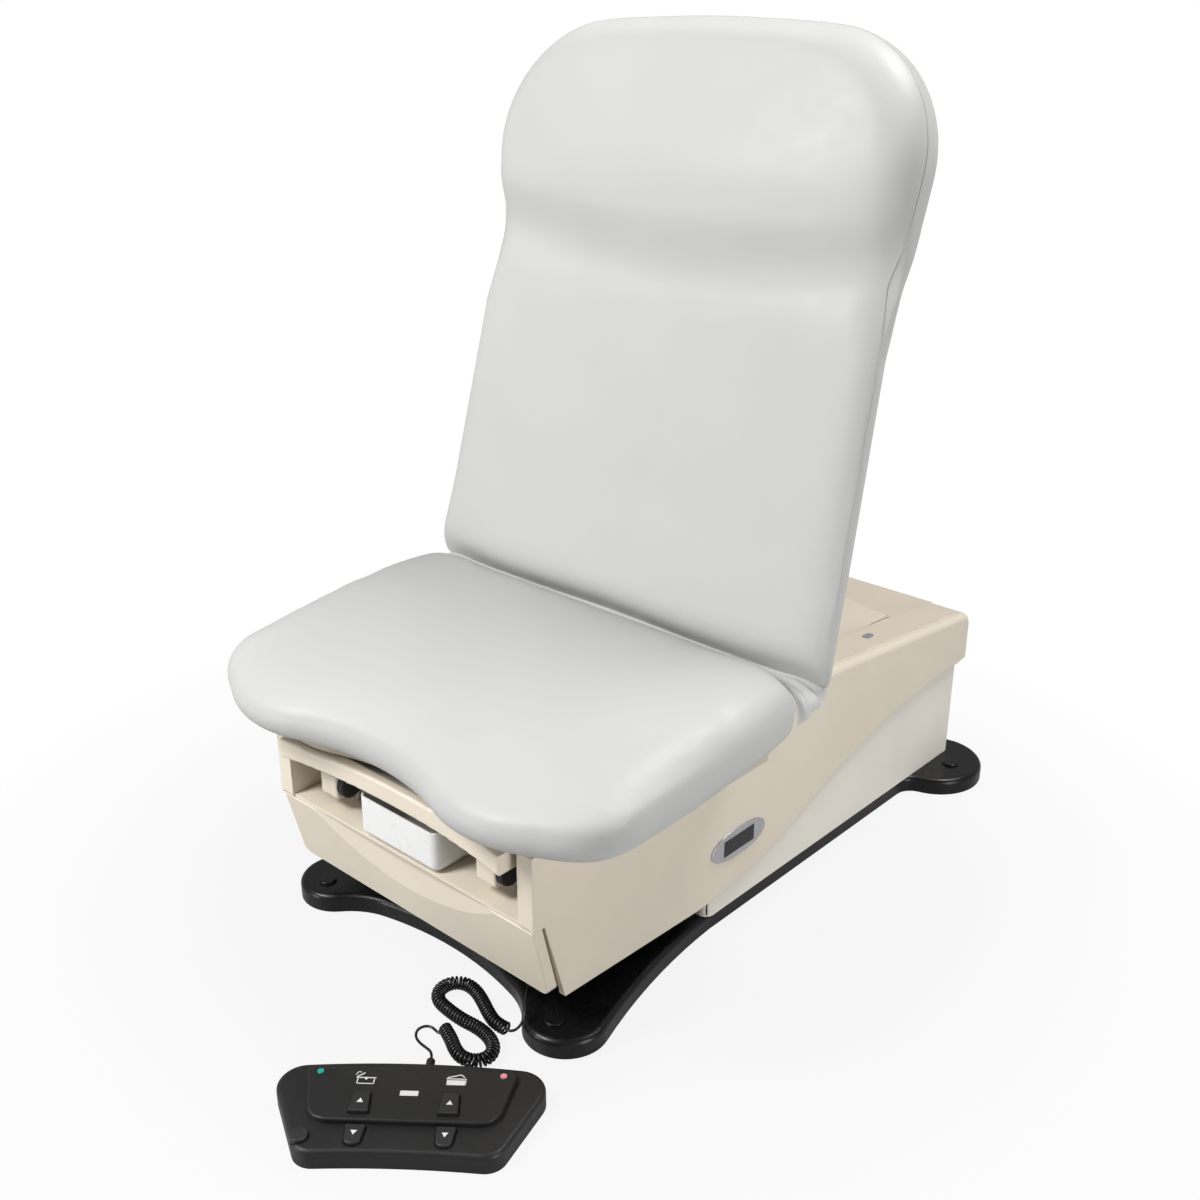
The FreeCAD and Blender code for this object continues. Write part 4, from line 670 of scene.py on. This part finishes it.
def edge_seam():
    """Sewn edge round the back and headrest: where rays from outside in the seam's plane meet the skin."""
    skin = BVHTree.FromPolygons(
        [v.co for v in back.data.vertices], [tuple(face.vertices) for face in back.data.polygons],
    )
    middle = from_back(0, SEAM_MIDDLE, SEAM_OUT)
    points = []
    for i in range(SEAM_STEPS + 1):
        angle = math.radians(-SEAM_SWEEP + 2 * SEAM_SWEEP * i / SEAM_STEPS)
        way = (from_back(math.sin(angle), SEAM_MIDDLE + math.cos(angle), SEAM_OUT) - middle).normalized()
        hit = skin.ray_cast(middle + way, -way)[0]
        if hit:
            points.append(hit - way * SEAM_SINK)
    return bead("edge_seam", points, SEAM_RADIUS)


dress(edge_seam(), SEAM, "back")

# Gusset between the seat and the back: half outlines of its two sewn edges, from the middle to the right end
GUSSET_SEAT = [
    (0, 437, 452), (200, 437, 452), (320, 436, 451), (360, 430, 447), (382, 421, 438), (391, 412, 424),
    (393, 408, 408),
]
GUSSET_BACK = [
    (0, 460, 460), (200, 460, 460), (320, 460, 459), (362, 462, 455), (386, 465, 449), (396, 470, 443),
    (397, 478, 438),
]
GUSSET_ROWS = 72
GUSSET_STEPS = 16
GUSSET_ENDS = (0.33, 0.39)
GUSSET_DEEP = 0.004
PLEATS = 2.5
PLEAT_DEEP = 0.0055


def gusset_edge(half):
    """Evenly spaced points along a sewn edge from its left end to its right end."""
    whole = [(-x, y, z) for x, y, z in reversed(half[1:])] + half
    return [place for place, _ in stations(curve_points("gusset_edge", on_table(whole), 12), GUSSET_ROWS)]


def gusset():
    """Sheet between the two sewn edges: sunk along the crease, and standing out in pleats at both ends."""
    seat_edge, back_edge = gusset_edge(GUSSET_SEAT), gusset_edge(GUSSET_BACK)
    verts = []
    for a, b in zip(seat_edge, back_edge):
        end = fade(abs(a.x), *GUSSET_ENDS)
        out = Vector((math.copysign(end, a.x), 0, 1.2 - end)).normalized()
        for j in range(GUSSET_STEPS + 1):
            t = j / GUSSET_STEPS
            arch = 4 * t * (1 - t)
            fold = 0.5 - 0.5 * math.cos(2 * math.pi * PLEATS * t)
            push = -GUSSET_DEEP * (1 - end) * arch + end * (GUSSET_DEEP * arch + PLEAT_DEEP * fold * arch)
            verts.append(a.lerp(b, t) + out * push)
    wide = GUSSET_STEPS + 1
    faces = [
        (i * wide + j, i * wide + j + 1, (i + 1) * wide + j + 1, (i + 1) * wide + j)
        for i in range(GUSSET_ROWS) for j in range(GUSSET_STEPS)
    ]
    obj = mesh_object("crease_gusset", verts, faces)
    modify(obj, "SUBSURF", levels=1, render_levels=1)
    settle(obj)
    obj.data.materials.append(VINYL)
    length = along(seat_edge)[-1]
    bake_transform(obj)


gusset()


# Cord of the foot control: a lead, a curly stretch on the floor and a lead to the socket on the base

# Routes in millimetres from the front of the cheeks: heights of the helix's axis and of a lead on the floor
COIL_Z = 10.6
FLOOR_Z = 2.1
LEAD_CONTROL = [
    (138, -82, 6), (120, -79, 3), (106, -73, FLOOR_Z), (98, -62, FLOOR_Z), (100, -50, FLOOR_Z),
    (109, -44.5, FLOOR_Z),
]
COIL = [
    (132, -40.7), (154, -48.7), (174, -60), (194, -66), (213, -60), (223, -43), (216, -24), (196, -12),
    (168, -8), (138, -12), (108, -11), (80, -7), (64, 9), (64, 31), (79, 46), (103, 46), (129, 36), (155, 23),
    (180, 14), (198, 17),
]
LEAD_BASE = [
    (215, 10.2, 20), (224, 12.5, 27), (230, 18, 39), (225, 29, 50), (208, 48, 55), (188, 72, 55),
    (178, 92, 53.5),
]
CORD_WIRE = 0.004
CORD_STEPS = 3
CURL_RADIUS = 0.0085
CURL_PITCH = 0.0056
CURL_STEPS = 12
LEAD_BEND = 0.0095
RELIEF_REACH = 0.011
LEAD_STRAIGHT = 0.016


def curl(route):
    """Turns of a helix round a level route, from below it to above it, with a bend into each lead."""
    turns = round(along(route)[-1] / CURL_PITCH)
    down = Vector((0, 0, -1))
    points = []
    for step, (here, heading) in enumerate(stations(route, turns * CURL_STEPS + CURL_STEPS // 2)):
        across = heading.cross(down)
        angle = 2 * math.pi * step / CURL_STEPS
        points.append(here + (down * math.cos(angle) + across * math.sin(angle)) * CURL_RADIUS)
        if step == 0:
            before = quarter(points[0], heading, across, -1)
    return before + points + quarter(points[-1], heading, across, 1)


def quarter(joint, heading, across, way):
    """Quarter turn between the helix and a lead: way is -1 before the helix and 1 after it."""
    middle = joint + heading * LEAD_BEND * way
    arc = [
        middle - (heading * math.cos(angle) * way + across * math.sin(angle)) * LEAD_BEND
        for angle in (math.radians(degrees) for degrees in (30, 60, 90))
    ]
    return arc if way > 0 else arc[::-1]


CONTROL_TURN = math.radians(40)
relief_low, relief_high = (Vector(corner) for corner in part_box("cord_strain_relief"))
relief_out = Vector((-math.sin(CONTROL_TURN), math.cos(CONTROL_TURN), 0))
lead_start = (relief_low + relief_high) / 2 + relief_out * RELIEF_REACH
socket_low, socket_high = (Vector(corner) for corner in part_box("cord_socket"))
lead_stop = Vector(((socket_low.x + socket_high.x) / 2, socket_low.y, (socket_low.z + socket_high.z) / 2))
control_points = [lead_start, lead_start + relief_out * LEAD_STRAIGHT] + on_table(LEAD_CONTROL)
coil_points = on_table([(x, y, COIL_Z) for x, y in COIL])
base_points = on_table(LEAD_BASE) + [lead_stop]
cord_points = control_points + curl(curve_points("coil_route", coil_points, 24)) + base_points
cord_curve = nurbs("foot_control_cord", cord_points, CORD_STEPS)
cord_curve.bevel_depth = CORD_WIRE / 2
cord_curve.bevel_resolution = 3
cord_curve.use_fill_caps = True
cord = new_object("foot_control_cord", cord_curve)
cord_length = along(curve_points("cord_measure", cord_points, CORD_STEPS))[-1]
dress(cord, CORD, "base")
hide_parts("cord_coil", "cord_lead_control", "cord_lead_base")


# Bare badge on each side, catch of each wing lid, and signs on the foot control

def facing(x, y, z, u, v):
    """Place with local X along u and local Y along v, at a point given as for on_table."""
    u, v = Vector(u), Vector(v)
    turn = Matrix((u, v, u.cross(v))).transposed().to_4x4()
    return Matrix.Translation(on_table([(x, y, z)])[0]) @ turn


BADGE_X = 273
FIELD_X = 276
BADGE_PLACE = (445, 152)
CATCH_X = 226
CATCH_PLACE = (858, 341.2)
for side, way in (("right", 1), ("left", -1)):
    ahead, up = (0, way, 0), (0, 0, 1)
    place = facing(BADGE_X * way, *BADGE_PLACE, ahead, up)
    rim = plate(f"badge_{side}", [oval(0.067, 0.0255, 2.2)], 0.003, place, 0.0018)
    dress(rim, BADGE, "carriage")
    place = facing(FIELD_X * way, *BADGE_PLACE, ahead, up)
    field = plate(f"badge_field_{side}", [box_outline(0.037, 0.0135)], 0.0006, place, 0.0002)
    dress(field, DARK_PLATE, "carriage")
    place = facing(CATCH_X * way, *CATCH_PLACE, (1, 0, 0), (0, 1, 0))
    catch = plate(f"lid_catch_{side}", [oval(0.0075, 0.012, 3.0)], 0.002, place, 0.0008)
    dress(catch, CHROME, "carriage")

CONTROL_PLACE = (220, -184)
PAD_TOP = 36
UP_KEY_TOP = 41
DOWN_KEY_TOP = 33
INK_THICK = 0.0002
LABEL_THICK = 0.0003
KEY_X = 58
UP_KEY_V = -13
DOWN_KEY_V = -61


def sign(name, outlines, u, v, height, body, thick=INK_THICK):
    """Print on the foot control: outlines in millimetres about a point in the control's own frame."""
    x, y = CONTROL_PLACE
    turn = Matrix.Rotation(CONTROL_TURN, 4, "Z")
    shift = Matrix.Translation(Vector((u, v, 0)) * MM)
    place = Matrix.Translation(on_table([(x, y, height)])[0]) @ turn @ shift
    scaled = [[(a * MM, b * MM) for a, b in outline] for outline in outlines]
    dress(plate(name, scaled, thick, place), INK, body)


ARROW = [(-4.2, -3.6), (4.2, -3.6), (0, 4.2)]
ARROW_DOWN = [(u, -v) for u, v in reversed(ARROW)]
for tag, u in (("back", -KEY_X), ("table", KEY_X)):
    sign(f"{tag}_up_arrow", [ARROW], u, UP_KEY_V, UP_KEY_TOP, f"key_{tag}_up")
    sign(f"{tag}_down_arrow", [ARROW_DOWN], u, DOWN_KEY_V, DOWN_KEY_TOP, f"key_{tag}_down")

BACK_SIGN = [
    stroke((-11, -9), (11, -9), 1.4), stroke((-11, -9), (-11, 2), 1.4), stroke((11, -9), (11, 2), 1.4),
    stroke((-13, 2), (13, 2), 1.8), stroke((-13, 3), (-3, 11), 1.8), stroke((-15, 7), (-12, 13), 1.2),
    stroke((-12, 13), (-8, 12), 1.2), oval(1.8, 1.8, count=16),
]
TABLE_SIGN = [
    box_outline(12, 4.5, -5), stroke((-13, 2), (13, 2), 1.6), stroke((-12, 4), (6, 10), 1.6),
    stroke((6, 10), (11, 5), 1.4), stroke((13, -9), (13, 3), 1.2),
]
sign("back_sign", BACK_SIGN, -59, 32, PAD_TOP, "base")
sign("table_sign", TABLE_SIGN, 60, 34, PAD_TOP, "base")
sign("bare_label", [box_outline(12, 4.5)], 2, 7, PAD_TOP, "base", LABEL_THICK)


# Stage

# Lamps: place, what they point at, size and power
LAMPS = {
    "key": ((-1.1, -2.6, 3.2), (0, 0, 0.5), 1.4, 148),
    "rear": ((0.9, 1.5, 3.4), (0.2, 0.5, 0.3), 1.4, 84),
    "front": ((-1.1, -2.8, 0.4), (0, -0.5, 0.15), 0.8, 18),
    "side": ((3.2, -0.3, 0.6), (0.27, 0.2, 0.15), 1.2, 39),
}
ROOM_GLOSS = 0.3
AMBIENT = 0.08
FLOOR_HALF = 9.0
FADE_NEAR, FADE_FAR = 0.5, 1.2
FADE_LEAST = 0.88


def light(name, place, target, size, power):
    """Round area lamp."""
    data = bpy.data.lights.new(name, "AREA")
    data.shape = "DISK"
    data.size = size
    data.energy = power
    lamp = new_object(name, data)
    lamp.location = place
    lamp.rotation_euler = (Vector(target) - Vector(place)).to_track_quat("-Z", "Y").to_euler()


def seen_directly(tree):
    """1 for rays that show the surroundings to the camera, also through glass, and less in reflections."""
    path = tree.nodes.new("ShaderNodeLightPath")
    dim = tree.nodes.new("ShaderNodeMath")
    dim.operation = "MULTIPLY"
    dim.inputs[1].default_value = ROOM_GLOSS
    tree.links.new(path.outputs["Is Glossy Ray"], dim.inputs[0])
    total = dim.outputs[0]
    for other in ("Is Camera Ray", "Is Transmission Ray"):
        node = tree.nodes.new("ShaderNodeMath")
        node.operation = "MAXIMUM"
        tree.links.new(total, node.inputs[0])
        tree.links.new(path.outputs[other], node.inputs[1])
        total = node.outputs[0]
    return total


def floor_material():
    """Pale floor that keeps the shadow near the object and fades to white away from it."""
    finish = Finish("pale_floor", srgb(160, 160, 160), 0.28)
    finish.vary_roughness(finish.texture("Noise", 3, Detail=2.0), 0.03)
    tree = finish.tree
    distance = tree.nodes.new("ShaderNodeVectorMath")
    distance.operation = "LENGTH"
    tree.links.new(finish.place, distance.inputs[0])
    fading = spread_value(tree, distance.outputs["Value"], FADE_NEAR, FADE_FAR, FADE_LEAST, 1.0)
    share = tree.nodes.new("ShaderNodeMath")
    share.operation = "MULTIPLY"
    tree.links.new(fading, share.inputs[0])
    tree.links.new(seen_directly(tree), share.inputs[1])
    white = tree.nodes.new("ShaderNodeEmission")
    mix = tree.nodes.new("ShaderNodeMixShader")
    tree.links.new(share.outputs[0], mix.inputs["Fac"])
    tree.links.new(finish.shader.outputs[0], mix.inputs[1])
    tree.links.new(white.outputs[0], mix.inputs[2])
    tree.links.new(mix.outputs[0], tree.nodes["Material Output"].inputs["Surface"])
    return finish.material


def stage():
    """Floor, surroundings and lamps."""
    corners = [(u * FLOOR_HALF, v * FLOOR_HALF, 0) for u, v in ((-1, -1), (1, -1), (1, 1), (-1, 1))]
    floor = mesh_object("floor", corners, [(0, 1, 2, 3)], False)
    floor.data.materials.append(floor_material())
    world = bpy.data.worlds.new("studio")
    SCENE.world = world
    world.use_nodes = True
    tree = world.node_tree
    strength = spread_value(tree, seen_directly(tree), 0.0, 1.0, AMBIENT, 1.0)
    background = tree.nodes["Background"]
    tree.links.new(strength, background.inputs["Strength"])
    background.inputs["Color"].default_value = (1, 1, 1, 1)
    for name, values in LAMPS.items():
        light(name, *values)


# Camera as solved from the photo, its place in millimetres from the front of the cheeks
CAMERA_PLACE = (1391.95, -1096.69, 1368.27)
CAMERA_AZIMUTH = math.radians(42.365)
CAMERA_PITCH = math.radians(23.27)
FOCAL_PIXELS = 1441.3
FRAME_PIXELS = 1200
SENSOR = 36.0


def camera():
    """The photo's view."""
    data = bpy.data.cameras.new("camera")
    data.sensor_width = SENSOR
    data.lens = FOCAL_PIXELS / FRAME_PIXELS * SENSOR
    data.clip_end = 60
    view = new_object("camera", data)
    view.location = on_table([CAMERA_PLACE])[0]
    forward = Vector((
        -math.sin(CAMERA_AZIMUTH) * math.cos(CAMERA_PITCH),
        math.cos(CAMERA_AZIMUTH) * math.cos(CAMERA_PITCH),
        -math.sin(CAMERA_PITCH),
    ))
    view.rotation_euler = forward.to_track_quat("-Z", "Y").to_euler()
    SCENE.camera = view


stage()
camera()
SCENE.view_settings.view_transform = "Standard"
